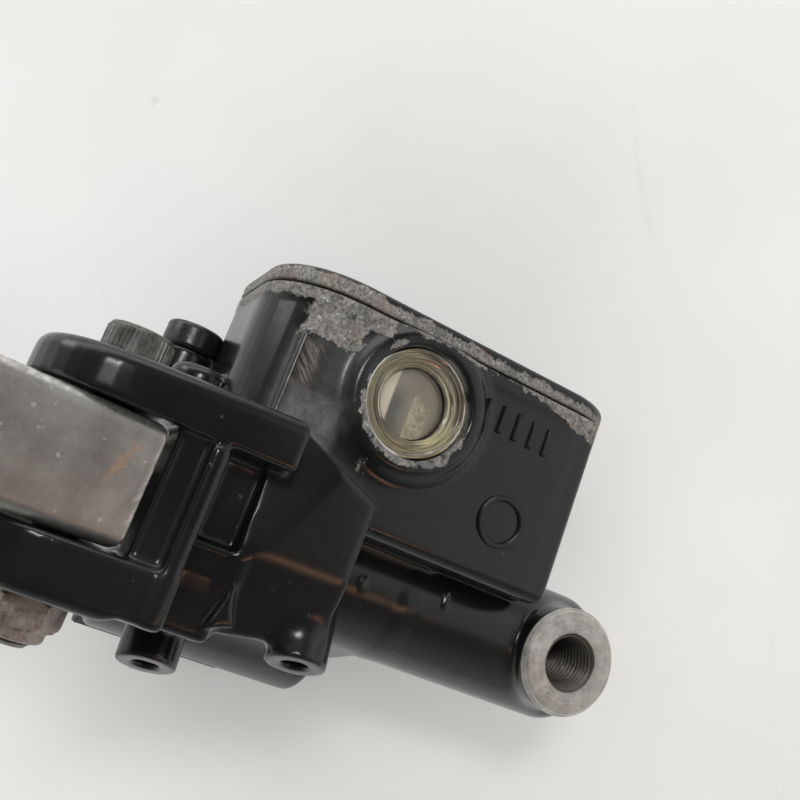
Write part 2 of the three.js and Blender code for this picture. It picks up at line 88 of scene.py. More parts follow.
def cuboid(x0, x1, y0, y1, z0, z1, r=0.5):
    low, high = np.array([x0, y0, z0], float), np.array([x1, y1, z1], float)
    mid, half = (low + high) / 2, (high - low) / 2

    def distance(x, y, z):
        a, b, c = (np.abs(p - m) - h + r for p, m, h in zip((x, y, z), mid, half))
        out = np.sqrt(np.maximum(a, 0) ** 2 + np.maximum(b, 0) ** 2 + np.maximum(c, 0) ** 2)
        return out + np.minimum(np.maximum(np.maximum(a, b), c), 0) - r
    return low, high, distance


def drum(axis, at, radius, t0, t1, r=0.5):
    """Cylinder through `at` along an axis from t0 to t1, with rounded rims."""
    i = "xyz".index(axis)
    u, v = [j for j in range(3) if j != i]
    low, high = np.array(at, float) - radius, np.array(at, float) + radius
    low[i], high[i] = t0, t1

    def distance(*p):
        plan = np.hypot(p[u] - at[u], p[v] - at[v]) - radius
        return rounded(plan, np.abs(p[i] - (t0 + t1) / 2) - (t1 - t0) / 2, r)
    return low, high, distance


def outline_distance(points, u, v):
    best = np.full(np.broadcast(u, v).shape, FAR * FAR)
    inside = np.zeros(best.shape, bool)
    for (ax, ay), (bx, by) in zip(points, points[1:] + points[:1]):
        ex, ey = bx - ax, by - ay
        t = np.clip(((u - ax) * ex + (v - ay) * ey) / (ex * ex + ey * ey), 0, 1)
        best = np.minimum(best, (u - ax - ex * t) ** 2 + (v - ay - ey * t) ** 2)
        if ey:
            inside ^= ((ay > v) != (by > v)) & (u < ex * (v - ay) / ey + ax)
    return np.where(inside, -1, 1) * np.sqrt(best)


def prism(axis, points, t0, t1, r=0.5):
    """Flat outline in the two other axes, raised along `axis` from t0 to t1."""
    i = "xyz".index(axis)
    u, v = [j for j in range(3) if j != i]
    low, high = np.zeros(3), np.zeros(3)
    low[[u, v]], high[[u, v]] = np.min(points, 0), np.max(points, 0)
    low[i], high[i] = t0, t1

    def distance(*p):
        plan = outline_distance(points, p[u], p[v])
        return rounded(plan, np.abs(p[i] - (t0 + t1) / 2) - (t1 - t0) / 2, r)
    return low, high, distance


def leaning(angle, at, shape):
    """The shape turned about X by -angle degrees and moved to `at`."""
    low, high, inner = shape
    c, s = math.cos(math.radians(angle)), math.sin(math.radians(angle))
    corners = np.array([[y * c + z * s, z * c - y * s] for y in (low[1], high[1]) for z in (low[2], high[2])])
    new_low = np.array([low[0], *corners.min(0)]) + at
    new_high = np.array([high[0], *corners.max(0)]) + at

    def distance(x, y, z):
        y, z = y - at[1], z - at[2]
        return inner(x - at[0], y * c - z * s, y * s + z * c)
    return new_low, new_high, distance


def limited(shape, other, k):
    """The shape, kept only where `other` is negative."""
    low, high, inner = shape
    return low, high, lambda *p: smooth_max(inner(*p), other(*p), k)


def arc(cx, cy, r, a0, a1, n=10):
    angles = np.radians(np.linspace(a0, a1, n + 1))
    return [(float(cx + r * np.cos(a)), float(cy + r * np.sin(a))) for a in angles]


def rounded_rect(x0, x1, y, left, right, n=12):
    return (arc(x1 - right, right - y, right, -90, 0, n) + arc(x1 - right, y - right, right, 0, 90, n)
            + arc(x0 + left, y - left, left, 90, 180, n) + arc(x0 + left, left - y, left, 180, 270, n))


class Cast:
    """A solid on a grid of signed distances, negative inside."""

    def __init__(self, low, high):
        self.low = np.array(low, float) - OFF_GRID
        count = np.ceil((np.array(high) - self.low) / STEP).astype(int) + 1
        self.axes = [self.low[i] + STEP * np.arange(count[i]) for i in range(3)]
        self.d = np.full(count, FAR, np.float32)

    def near(self, shape):
        low, high, distance = shape
        where = []
        for i in range(3):
            a = max(0, int((low[i] - MARGIN - self.low[i]) / STEP))
            b = max(a + 1, int((high[i] + MARGIN - self.low[i]) / STEP) + 2)
            where.append(slice(a, b))
        x, y, z = (axis[w] for axis, w in zip(self.axes, where))
        at = distance(x[:, None, None], y[None, :, None], z[None, None, :])
        return tuple(where), np.asarray(at, np.float32)

    def add(self, shape, k=0.0):
        where, other = self.near(shape)
        self.d[where] = smooth_min(self.d[where], other, k)

    def cut(self, shape, k=0.0):
        where, other = self.near(shape)
        self.d[where] = smooth_max(self.d[where], -other, k)

    def sample(self, p):
        """Distance and its slope at points given in grid steps."""
        cell = np.clip(np.floor(p).astype(int), 0, np.array(self.d.shape) - 2)
        f = p - cell
        value, slope = np.zeros(len(p)), np.zeros((len(p), 3))
        for corner in np.ndindex(2, 2, 2):
            v = self.d[tuple((cell + corner).T)]
            w = np.where(corner, f, 1 - f)
            sign = np.where(corner, 1, -1)
            value += v * w.prod(1)
            for i in range(3):
                slope[:, i] += v * sign[i] * w[:, (i + 1) % 3] * w[:, (i + 2) % 3]
        return value, slope

    def surface(self):
        """Points in millimetres and quads of the surface."""
        inside = self.d < 0
        shape = tuple(n - 1 for n in inside.shape)
        count = np.zeros(shape, np.uint8)
        for corner in np.ndindex(2, 2, 2):
            count += inside[tuple(slice(c, c + n) for c, n in zip(corner, shape))]
        cells = np.argwhere((count > 0) & (count < 8))
        total, hits = np.zeros((len(cells), 3)), np.zeros(len(cells))
        for a in np.ndindex(2, 2, 2):
            for i in range(3):
                if a[i]:
                    continue
                b = tuple(1 if j == i else a[j] for j in range(3))
                va, vb = self.d[tuple((cells + a).T)], self.d[tuple((cells + b).T)]
                cross = (va < 0) != (vb < 0)
                t = np.where(cross, va / np.where(cross, va - vb, 1), 0)
                total += cross[:, None] * (np.array(a) + t[:, None] * (np.array(b) - a))
                hits += cross
        points = cells + total / hits[:, None]
        for _ in range(FOUND_STEPS):
            value, slope = self.sample(points)
            move = slope * (value / np.maximum((slope ** 2).sum(1), 1e-6))[:, None]
            points -= np.clip(move, -STEP, STEP)
        number = np.full(shape, -1, np.int32)
        number[tuple(cells.T)] = np.arange(len(cells))
        quads = []
        for i in range(3):
            u, v = (i + 1) % 3, (i + 2) % 3
            step = [np.eye(3, dtype=int)[j] for j in range(3)]
            lower = inside[tuple(slice(0, -1) if j == i else slice(None) for j in range(3))]
            upper = inside[tuple(slice(1, None) if j == i else slice(None) for j in range(3))]
            at = np.argwhere(lower != upper)
            around = ((1, 1), (0, 1), (0, 0), (1, 0))
            quad = np.stack([number[tuple((at - du * step[u] - dv * step[v]).T)] for du, dv in around], 1)
            flip = ~lower[tuple(at.T)]
            quad[flip] = quad[flip][:, ::-1]
            quads.append(quad)
        return self.low + STEP * points, np.concatenate(quads)


# ---- meshes ----

def linked(name, data):
    obj = bpy.data.objects.new(name, data)
    bpy.context.scene.collection.objects.link(obj)
    return obj


def mend(obj, repair):
    """Runs one repair on the mesh, then turns its faces outwards."""
    work = bmesh.new()
    work.from_mesh(obj.data)
    repair(work)
    bmesh.ops.recalc_face_normals(work, faces=work.faces)
    work.to_mesh(obj.data)
    work.free()


def tube_quads(gaps, sides):
    """Quads that join rings of `sides` points, across each gap between two rings."""
    i, j = np.meshgrid(np.arange(gaps), np.arange(sides), indexing="ij")
    k = (j + 1) % sides
    quads = np.stack([i * sides + j, i * sides + k, (i + 1) * sides + k, (i + 1) * sides + j], -1)
    return quads.reshape(-1, 4)


def make_mesh(name, points, quads):
    """Mesh object from numpy points and quads, smooth shaded."""
    mesh = bpy.data.meshes.new(name)
    mesh.vertices.add(len(points))
    mesh.vertices.foreach_set("co", np.asarray(points, np.float32).ravel())
    mesh.loops.add(quads.size)
    mesh.loops.foreach_set("vertex_index", np.asarray(quads, np.int32).ravel())
    mesh.polygons.add(len(quads))
    mesh.polygons.foreach_set("loop_start", np.arange(0, quads.size, 4, dtype=np.int32))
    mesh.polygons.foreach_set("use_smooth", np.ones(len(quads), bool))
    mesh.update(calc_edges=True)
    mesh.validate()
    return linked(name, mesh)


def metres(points):
    return (np.asarray(points, float) + ORIGIN) / 1000


def attribute(obj, name, values):
    layer = obj.data.attributes.new(name, "FLOAT", "POINT")
    layer.data.foreach_set("value", np.asarray(values, np.float32))


def finish_piece(obj, material, slot, *nodes, body="housing"):
    """Gives a detailed piece its material and body, and hides the CAD nodes that it replaces. The slot is not
    used.
    """
    obj.data.materials.clear()
    obj.data.materials.append(material)
    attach(obj, body)
    if nodes:
        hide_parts(*nodes)
    return obj


def turned(name, at, direction, rings, sides=96, sharp=SHARP):
    """Round piece about its own Z axis, which starts at `at` and points along `direction`.
    rings holds (radius, distance): a radius is a number or a function of the angle in radians."""
    angle = np.linspace(0, 2 * np.pi, sides, endpoint=False)
    points = []
    for radius, t in rings:
        r = radius(angle) if callable(radius) else np.full(sides, float(radius))
        points.append(np.stack([r * np.cos(angle), r * np.sin(angle), np.full(sides, float(t))], 1))
    points = np.concatenate(points) / 1000
    obj = make_mesh(name, points, tube_quads(len(rings) - 1, sides))
    mend(obj, lambda mesh: bmesh.ops.remove_doubles(mesh, verts=mesh.verts, dist=1e-7))
    obj.data.set_sharp_from_angle(angle=math.radians(sharp))
    turn = Vector((0, 0, 1)).rotation_difference(Vector(direction)).to_matrix().to_4x4()
    obj.matrix_world = Matrix.Translation(Vector(metres(at))) @ turn
    bpy.context.view_layer.update()
    return obj


def stacked(name, rings):
    """Closed piece through flat outlines of equal count: rings holds (outline, z)."""
    n = len(rings[0][0])
    mesh = bmesh.new()
    rows = []
    for outline, z in rings:
        rows.append([mesh.verts.new(metres([u, v, z])) for u, v in outline])
    for low, high in zip(rows, rows[1:]):
        for i in range(n):
            mesh.faces.new([low[i], low[(i + 1) % n], high[(i + 1) % n], high[i]])
    mesh.faces.new(rows[0][::-1])
    mesh.faces.new(rows[-1])
    bmesh.ops.recalc_face_normals(mesh, faces=mesh.faces)
    data = bpy.data.meshes.new(name)
    mesh.to_mesh(data)
    mesh.free()
    data.shade_smooth()
    data.set_sharp_from_angle(angle=math.radians(SHARP))
    return linked(name, data)


def bore_out(obj, *cutters):
    """Cuts closed pieces out of a closed piece and removes them."""
    for cutter in cutters:
        cutting = obj.modifiers.new("cut", "BOOLEAN")
        cutting.solver = "EXACT"
        cutting.object = cutter
    bpy.context.view_layer.update()
    cut = bpy.data.meshes.new_from_object(obj.evaluated_get(bpy.context.evaluated_depsgraph_get()))
    obj.modifiers.clear()
    obj.data = cut
    for cutter in cutters:
        bpy.data.objects.remove(cutter)
    cut.set_sharp_from_angle(angle=math.radians(SHARP))
    return obj


# ---- materials ----

class Nodes:
    """A shader's node tree, whose nodes are added by calls."""

    def __init__(self, tree, coordinates="Object"):
        self.nodes, self.links = tree.nodes, tree.links
        self.place = self.node("TexCoord").outputs[coordinates]

    def node(self, kind, settings=None, **inputs):
        node = self.nodes.new("ShaderNode" + kind)
        for key, value in (settings or {}).items():
            setattr(node, key, value)
        for key, value in inputs.items():
            self.feed(node.inputs[int(key[1:]) if key[0] == "i" and key[1:].isdigit() else key], value)
        return node

    def feed(self, socket, value):
        if isinstance(value, bpy.types.NodeSocket):
            self.links.new(value, socket)
        else:
            socket.default_value = value

    def stretched(self, x, y, z, turn=(0, 0, 0)):
        """Coordinates scaled along axes that are turned with the pattern."""
        scale = (1 / x, 1 / y, 1 / z)
        return self.node("Mapping", {"vector_type": "TEXTURE"}, Vector=self.place, Scale=scale,
                         Rotation=turn).outputs[0]

    def noise(self, scale, detail, roughness, at=None, seed=0.0):
        """Noise of about `scale` features a millimetre."""
        node = self.node("TexNoise", {"noise_dimensions": "4D"}, Vector=at or self.place, W=seed,
                         Scale=scale * PER_MM, Detail=detail, Roughness=roughness)
        return node.outputs["Fac"]

    def about_axis(self, scale, detail, roughness):
        """The piece's own X and Y, the distance from its Z axis, and a noise in rings about that axis."""
        x, y = self.node("SeparateXYZ", Vector=self.place).outputs[:2]
        flat = self.node("CombineXYZ", X=x, Y=y).outputs[0]
        radius = self.node("VectorMath", {"operation": "LENGTH"}, i0=flat).outputs["Value"]
        rings = self.node("TexNoise", {"noise_dimensions": "1D"}, W=radius, Scale=scale * PER_MM,
                          Detail=detail, Roughness=roughness)
        return x, y, radius, rings.outputs["Fac"]

    def math(self, operation, a, b):
        return self.node("Math", {"operation": operation}, i0=a, i1=b).outputs[0]

    def plus(self, a, b):
        return self.math("ADD", a, b)

    def times(self, a, b):
        return self.math("MULTIPLY", a, b)

    def span(self, value, low, high, to_low=0.0, to_high=1.0):
        """value from low..high to to_low..to_high, eased at both ends."""
        node = self.node("MapRange", {"interpolation_type": "SMOOTHSTEP"}, Value=value)
        for name, number in zip(("From Min", "From Max", "To Min", "To Max"), (low, high, to_low, to_high)):
            node.inputs[name].default_value = number
        return node.outputs[0]

    def mix(self, share, a, b):
        node = self.node("Mix", {"data_type": "RGBA"})
        self.feed(node.inputs[0], share)
        for socket, value in zip((node.inputs[6], node.inputs[7]), (a, b)):
            self.feed(socket, (*value, 1) if isinstance(value, tuple) and len(value) == 3 else value)
        return node.outputs[2]

    def over(self, tone, value, low, high, most, colour):
        """The tone, turned towards a colour by up to `most` as value goes from low to high."""
        return self.mix(self.span(value, low, high, 0, most), tone, colour)

    def blend(self, share, a, b):
        node = self.node("Mix", {"data_type": "FLOAT"})
        for socket, value in zip(node.inputs[:1] + node.inputs[2:4], (share, a, b)):
            self.feed(socket, value)
        return node.outputs[0]

    def attribute(self, name):
        return self.node("Attribute", {"attribute_name": name}).outputs["Fac"]

    def bump(self, height, distance, strength=1.0, under=None):
        node = self.node("Bump", Height=height, Strength=strength, Distance=distance)
        if under is not None:
            self.feed(node.inputs["Normal"], under)
        return node.outputs[0]


class Finish(Nodes):
    """A Principled material whose inputs are built from nodes."""

    def __init__(self, name):
        self.material = bpy.data.materials.new(name)
        self.material.use_nodes = True
        super().__init__(self.material.node_tree)
        self.shader = self.nodes["Principled BSDF"]

    def set(self, **inputs):
        for key, value in inputs.items():
            if isinstance(value, tuple) and len(value) == 3:
                value = (*value, 1)
            self.feed(self.shader.inputs[key.replace("_", " ")], value)


def pitted_metal(f):
    """Colour, roughness and height of die-cast metal under lost paint."""
    grain = f.noise(1.9, 6, 0.75, seed=3)
    pits = f.noise(1.1, 4, 0.65, seed=8)
    patch = f.noise(0.42, 4, 0.6, seed=5)
    tint = f.noise(0.3, 3, 0.6, seed=9)
    tone = f.mix(f.span(grain, 0.34, 0.64), (0.062, 0.062, 0.058), (0.33, 0.315, 0.29))
    tone = f.over(tone, patch, 0.50, 0.60, 0.6, (0.085, 0.09, 0.084))
    tone = f.over(tone, tint, 0.50, 0.64, 0.5, (0.25, 0.195, 0.17))
    tone = f.over(tone, pits, 0.58, 0.66, 0.85, (0.028, 0.029, 0.027))
    tone = f.over(tone, pits, 0.39, 0.33, 0.8, (0.60, 0.59, 0.56))
    height = f.plus(f.times(grain, 0.6), f.times(pits, -0.6))
    return tone, f.span(grain, 0.3, 0.7, 0.66, 0.45), height


def painted(name, colour, gloss, edge_noise=0.6):
    """Black paint on cast metal. `wear` strips it, `scuff` rubs it grey and `scratch` scores it brown."""
    f = Finish(name)
    cloud = f.noise(0.05, 3, 0.5, seed=1)
    speck = f.noise(1.1, 2, 0.5, seed=2)
    paint = f.mix(f.span(cloud, 0.3, 0.7, 0, 0.6), colour, tuple(c * 1.4 + 0.001 for c in colour))
    paint = f.over(paint, speck, 0.72, 0.76, 0.3, (0.12, 0.12, 0.115))
    rough = f.span(cloud, 0.3, 0.7, gloss - 0.03, gloss + 0.05)
    rough = f.plus(rough, f.span(speck, 0.68, 0.75, 0, 0.2))

    scuff, scratch = f.attribute("scuff"), f.attribute("scratch")
    dust = f.noise(1.3, 5, 0.7, seed=11)
    broad = f.noise(0.25, 3, 0.55, seed=12)
    rub = f.times(scuff, f.span(f.plus(dust, broad), 0.72, 1.25, 0.35, 1.0))
    paint = f.mix(rub, paint, (0.150, 0.155, 0.148))
    lines = f.noise(1.0, 4, 0.6, at=f.stretched(4.5, 1, 0.3, (0, math.radians(-45), 0)), seed=4)
    scored = f.times(scratch, f.span(lines, 0.44, 0.58))
    paint = f.mix(scored, paint, (0.25, 0.195, 0.165))
    rough = f.blend(f.math("MAXIMUM", scuff, scored), rough, 0.42)

    metal, metal_rough, metal_height = pitted_metal(f)
    ragged = f.noise(edge_noise, 7, 0.66, seed=6)
    level = f.plus(f.attribute("wear"), f.times(f.math("SUBTRACT", ragged, 0.5), 1.7))
    bare = f.span(level, 0.485, 0.515)
    rim = f.times(f.span(level, 0.38, 0.48), f.span(level, 0.60, 0.52))
    colour_out = f.mix(bare, paint, metal)
    colour_out = f.mix(f.times(rim, 0.7), colour_out, (0.010, 0.010, 0.009))
    f.set(Base_Color=colour_out, Roughness=f.blend(bare, rough, metal_rough),
          Metallic=f.times(bare, 0.2), IOR=1.5)
    skin = f.bump(f.noise(0.35, 3, 0.5, seed=7), 0.00025, 0.08)
    chipped = f.bump(f.times(bare, -1.0), 0.00028, 0.9, under=skin)
    pitted = f.bump(f.times(metal_height, f.plus(bare, f.times(scored, 0.2))),
                    0.0006, 0.9, under=chipped)
    f.set(Normal=pitted)
    return f.material


def brighter(colour, times):
    return tuple(min(1, c * times) for c in colour)


def brushed(name, low, high, along=(6, 0.25, 6), rough=(0.28, 0.42), nicks=0.70, marks=()):
    """Bare metal, brushed along one of its axes, with small nicks.
    Each mark is the attribute that says where it is, its colour and its greatest share."""
    f = Finish(name)
    lines = f.noise(1.0, 4, 0.6, at=f.stretched(*along), seed=1)
    cloud = f.noise(0.12, 5, 0.65, seed=2)
    nick = f.noise(0.8, 2, 0.4, seed=3)
    tone = f.mix(f.span(cloud, 0.3, 0.7), low, high)
    tone = f.over(tone, lines, 0.35, 0.7, 0.3, brighter(high, 1.25))
    tone = f.over(tone, nick, nicks, nicks + 0.04, 0.6, brighter(high, 1.6))
    for mark, colour, most in marks:
        streaks = f.noise(0.8, 5, 0.7, at=f.stretched(1.7, 1, 0.5, (0, 0.37, 0)), seed=4)
        level = f.plus(f.attribute(mark), f.times(f.math("SUBTRACT", streaks, 0.5), 2.0))
        tone = f.over(tone, level, 0.6, 1.2, most, colour)
    rougher = f.span(nick, 0.68, 0.74, 0, 0.15)
    f.set(Base_Color=tone, Metallic=0.9, Roughness=f.plus(f.span(lines, 0.3, 0.7, *rough), rougher))
    f.set(Normal=f.bump(f.plus(lines, f.times(nick, -0.4)), 0.00005, 0.4))
    return f.material


def machined(name):
    """Faced aluminium: fine rings about the piece's own Z axis, and painted shade inside the hole."""
    f = Finish(name)
    _, _, radius, rings = f.about_axis(3.2, 4.0, 0.7)
    cloud = f.noise(0.35, 4, 0.65, seed=2)
    dent = f.noise(1.3, 3, 0.5, seed=4)
    tone = f.mix(f.span(cloud, 0.35, 0.65), (0.33, 0.31, 0.28), (0.54, 0.52, 0.48))
    tone = f.over(tone, rings, 0.4, 0.7, 0.4, (0.72, 0.71, 0.7))
    tone = f.over(tone, dent, 0.62, 0.70, 0.5, (0.2, 0.19, 0.175))
    # painted shade: inside the hole, within about 5 mm of the axis, the tone turns dark
    tone = f.mix(f.span(radius, 0.00505, 0.00485), tone, (0.12, 0.11, 0.095))
    f.set(Base_Color=tone, Metallic=0.75, Roughness=f.span(cloud, 0.3, 0.7, 0.34, 0.5))
    f.set(Normal=f.bump(f.plus(rings, f.times(dent, -0.7)), 0.00012, 0.7))
    return f.material


def tarnished(name, low, high, rough=0.45, metallic=0.8, scale=0.7):
    """Fastener steel with stains and worn, brighter flecks."""
    f = Finish(name)
    cloud = f.noise(scale, 5, 0.65, seed=1)
    fleck = f.noise(2.2, 3, 0.6, seed=2)
    tone = f.mix(f.span(cloud, 0.32, 0.68), low, high)
    tone = f.over(tone, fleck, 0.60, 0.70, 0.5, brighter(high, 2.2))
    f.set(Base_Color=tone, Metallic=metallic, Roughness=f.span(cloud, 0.3, 0.7, rough - 0.08, rough + 0.12))
    f.set(Normal=f.bump(cloud, 0.00012, 0.5))
    return f.material


def moulded(name, colour, rough, grain=1.2):
    """Rubber or nylon with a fine moulded grain and a little dust."""
    f = Finish(name)
    fine = f.noise(grain, 3, 0.5, seed=1)
    dust = f.noise(0.22, 4, 0.6, seed=2)
    tone = f.mix(f.span(dust, 0.5, 0.75, 0, 0.35), colour, tuple(c * 2.2 + 0.02 for c in colour))
    f.set(Base_Color=tone, Roughness=f.span(fine, 0.3, 0.7, rough - 0.07, rough + 0.08))
    f.set(Normal=f.bump(fine, 0.00012, 0.35))
    return f.material


def lens_material():
    f = Finish("lens_yellowed")
    cloud = f.noise(0.25, 3, 0.5, seed=1)
    f.set(Base_Color=f.mix(f.span(cloud, 0.3, 0.7), (0.90, 0.86, 0.74), (0.94, 0.91, 0.82)),
          Roughness=f.span(cloud, 0.3, 0.7, 0.03, 0.09), IOR=1.48)
    f.set(Transmission_Weight=1.0)
    return f.material


def reflector_material():
    """Painted light on the reflector, from the left: a painted highlight at the edge, a band of painted
    shade, grey that is painted lighter to the right and upwards, and a lighter speckled wedge low on the
    right that turns darker further right.
    """
    f = Finish("reflector_painted_light")
    across, up = f.node("SeparateXYZ", Vector=f.place).outputs[:2]
    haze = f.noise(1.1, 5, 0.7, seed=1)
    cloud = f.noise(0.25, 3, 0.6, seed=2)
    leaning_up = f.plus(up, f.times(across, 0.5))
    wedge = f.times(f.span(across, 0.0001, 0.0003), f.span(leaning_up, 0.0028, 0.0012))
    cream = f.mix(f.span(haze, 0.38, 0.62), (0.26, 0.235, 0.19), (0.58, 0.54, 0.45))
    cream = f.over(cream, across, 0.0022, 0.0048, 0.8, (0.20, 0.165, 0.135))
    # painted shade: dark near the left edge, lighter to the right and upwards
    grey = f.mix(f.span(across, -0.0022, 0.0002), (0.035, 0.035, 0.035), (0.27, 0.25, 0.225))
    grey = f.mix(f.span(up, -0.0005, 0.0035), grey, (0.24, 0.215, 0.19))
    grey = f.over(grey, cloud, 0.4, 0.65, 0.4, (0.12, 0.11, 0.10))
    # painted highlight: a bright band at the far left edge
    painted_edge_highlight_and_shade = f.mix(f.span(across, -0.0036, -0.0031), (0.98, 0.97, 0.94), grey)
    f.set(Base_Color=f.mix(wedge, painted_edge_highlight_and_shade, cream), Roughness=0.4)
    return f.material


def retainer_material():
    """Tan moulding with fine rings, seen through the rim of the sight glass, with a painted highlight on its
    right and painted shade at its outer upper right.
    """
    f = Finish("retainer_tan")
    x, y, radius, rings = f.about_axis(2.6, 3.0, 0.6)
    cloud = f.noise(0.3, 3, 0.6, seed=2)
    tone = f.mix(f.span(rings, 0.40, 0.60), (0.08, 0.07, 0.045), (0.50, 0.46, 0.31))
    tone = f.over(tone, cloud, 0.45, 0.7, 0.5, (0.24, 0.19, 0.145))
    # painted highlight: a bright crescent on the inner right of the ring
    lit = f.times(f.span(x, 0.0018, 0.0052), f.span(radius, 0.0076, 0.0066))
    tone = f.mix(lit, tone, (0.92, 0.88, 0.60))
    # painted shade: the outer upper right of the ring is darkened
    corner_dark = f.span(f.plus(x, y), 0.004, 0.009)
    shade = f.times(corner_dark, f.span(radius, 0.0066, 0.0078, 0, 0.8))
    tone = f.mix(shade, tone, (0.06, 0.04, 0.03))
    f.set(Base_Color=tone, Roughness=0.5, Normal=f.bump(rings, 0.0001, 0.6))
    return f.material


PAINT = painted("black_paint", (0.0048, 0.0056, 0.0053), 0.21)
COVER_PAINT = painted("cover_paint", (0.0060, 0.0068, 0.0064), 0.33, edge_noise=0.55)
# the rubbed mark is partly rubbed metal and partly a painted highlight along the lever's upper and right
# front edges
LEVER_MARKS = (("rubbed", (0.74, 0.72, 0.68), 0.85), ("painted_copper_reflection", (0.60, 0.38, 0.23), 0.6))
# the copper-coloured lever mark is a painted reflection
LEVER_METAL = brushed("lever_metal", (0.215, 0.207, 0.19), (0.41, 0.40, 0.375), rough=(0.32, 0.44),
                      nicks=0.672, marks=LEVER_MARKS)
MACHINED = machined("machined_face")
NUT_STEEL = tarnished("nut_steel", (0.18, 0.152, 0.134), (0.38, 0.335, 0.30), 0.42)
OXIDE = tarnished("worn_oxide", (0.055, 0.056, 0.053), (0.21, 0.21, 0.195), 0.42, scale=0.5)
ZINC = tarnished("zinc_plate", (0.36, 0.34, 0.30), (0.60, 0.58, 0.53), 0.34, 0.9)
BRONZE = brushed("bush_bronze", (0.42, 0.26, 0.11), (0.55, 0.36, 0.17))
PISTON_METAL = brushed("piston_metal", (0.50, 0.48, 0.46), (0.62, 0.61, 0.6), along=(0.3, 6, 6))
RUBBER = moulded("rubber_black", (0.017, 0.017, 0.017), 0.62)
PLUG = moulded("plug_black", (0.010, 0.0105, 0.0105), 0.30, 0.8)
NYLON = moulded("nylon_dark", (0.03, 0.031, 0.03), 0.5)
LENS = lens_material()
REFLECTOR = reflector_material()
RETAINER = retainer_material()


# ---- body casting ----

# sides, half depth, bottom and top of the reservoir, and sides, half depth and corner radii of its rim
TANK = dict(x0=-70.4, x1=-10.2, y=20.2, z0=6.5, z1=38.0)
RIM = dict(x0=-71.0, x1=-8.0, y=20.5, left=13.0, right=11.0)
RIM_BASE = 35.6
OPEN_TOP = 50  # above every part of the casting
WALL = 3.0  # thickness of the reservoir's wall
COVER_BASE, COVER_TOP = 38.35, 41.2
SCREWS_X = (-63.4, -16.6)
FRONT = -20.2  # face of the pad on the front wall
PAD_LEFT = -65.4
AXIS = (0, 0, 0)  # where the bore's axis meets the hose outlet's
FORWARD, UPWARD = (0, -1, 0), (0, 0, 1)
BARREL = dict(left=-70, r=11.2, end=9.8, end_r=11.3)
BARREL_MARKS = ((-24.2, 1.0, 4.2), (-39.2, -0.8, 0.9))  # x, lower end and upper end
BORE_R, BORE_END = 7, -10
MOUTH_R, MOUTH_END = 9, -67.4  # the wider end of the bore, where the dust boot sits
OUTLET_R, OUTLET_HOLE_R = 9.0, 7.2
GLASS = (-45.0, 0.0, 27.7)  # the sight glass's axis, which points to the front
GLASS_RING_R, GLASS_RING_FRONT, GLASS_SEAT_R = 10.8, -21.6, 8.7
PIVOT = (-85.5, -18.0)  # x and y of the lever's upright pivot
PIVOT_HOLE_R, PIVOT_SEAT_R = 3.3, 5.6
EAR_R = 12
EAR_LOW, EAR_HIGH = -7.9, 9.8  # the faces that the lever turns between
PERCH_BASE, PERCH_TOP = -14.8, 11  # of the walls between the ears
BLOCK_LEFT, BLOCK_RIGHT = -63.3, -46.5
CLAMP = (0.0, 38.5, -8.5)  # the handlebar's axis
CLAMP_TILT = 40  # lean of the clamp's split plane in degrees
CLAMP_MIDDLE = (-54, CLAMP[1], CLAMP[2])
CLAMP_R, CAP_R, BAR_R = 16.3, 15, 11.2
FLANGE, BOLT_OUT = 22.6, 17.3  # from the bar's axis to the flange's edge and to a clamp bolt
MIRROR = (-75.1, 12.0)  # x and y of the upright mirror boss
SWITCHES = (((-65.5, -8.0, -22.0), 12.0), ((-48.3, -20.0, -14.3), 13.0))  # foot and length of each boss
SWITCH_TILT = 22


def rim_outline(inset):
    left, right = RIM["left"] - inset, RIM["right"] - inset
    return rounded_rect(RIM["x0"] + inset, RIM["x1"] - inset, RIM["y"] - inset, left, right)


def ear_outline(end, back_x, back_y):
    """Plan of an ear: its right end, front to back, then round the pivot."""
    return end + [(-66.0, back_y), (back_x, back_y), (back_x, -4.0)] + arc(*PIVOT, EAR_R, 90, 270, 18)


def on_clamp(shape):
    """The shape, moved from the origin to the clamp's middle and tilted with its split plane."""
    return leaning(CLAMP_TILT, CLAMP_MIDDLE, shape)


def add_reservoir(c):
    """Tank and rim, the pad on the front wall, the barrel, and the raised rings of the two openings."""
    tank = rounded_rect(TANK["x0"] - 0.55, TANK["x1"], TANK["y"] - 0.1, 12.9, 7.2)
    c.add(prism("z", tank, TANK["z0"], TANK["z1"] + 2, 1.6))
    c.add(prism("z", rim_outline(0.0), RIM_BASE, TANK["z1"] + 3, 0.6), 0.5)
    pad = cuboid(-75, -12.2, FRONT, -12, TANK["z0"], TANK["z1"] + 3, 1.5)
    pad_end = lambda x, y, z: PAD_LEFT - x + np.clip(0.9 * (z - 30.5), 0, 6.5)
    c.add(limited(pad, pad_end, 0.7), 0.6)
    c.add(cuboid(-66, -14, -8, 8, 0, 8, 0.5), 3.0)
    c.add(drum("x", AXIS, BARREL["r"], BARREL["left"], -28, 0.8), 2.5)
    c.add(drum("x", AXIS, BARREL["end_r"], -36, BARREL["end"], 5.5), 0.4)
    c.add(drum("y", GLASS, GLASS_RING_R, GLASS_RING_FRONT, -10, 0.7), 3.2)
    c.add(drum("y", AXIS, OUTLET_R, -13.4, 4, 0.3), 1.2)


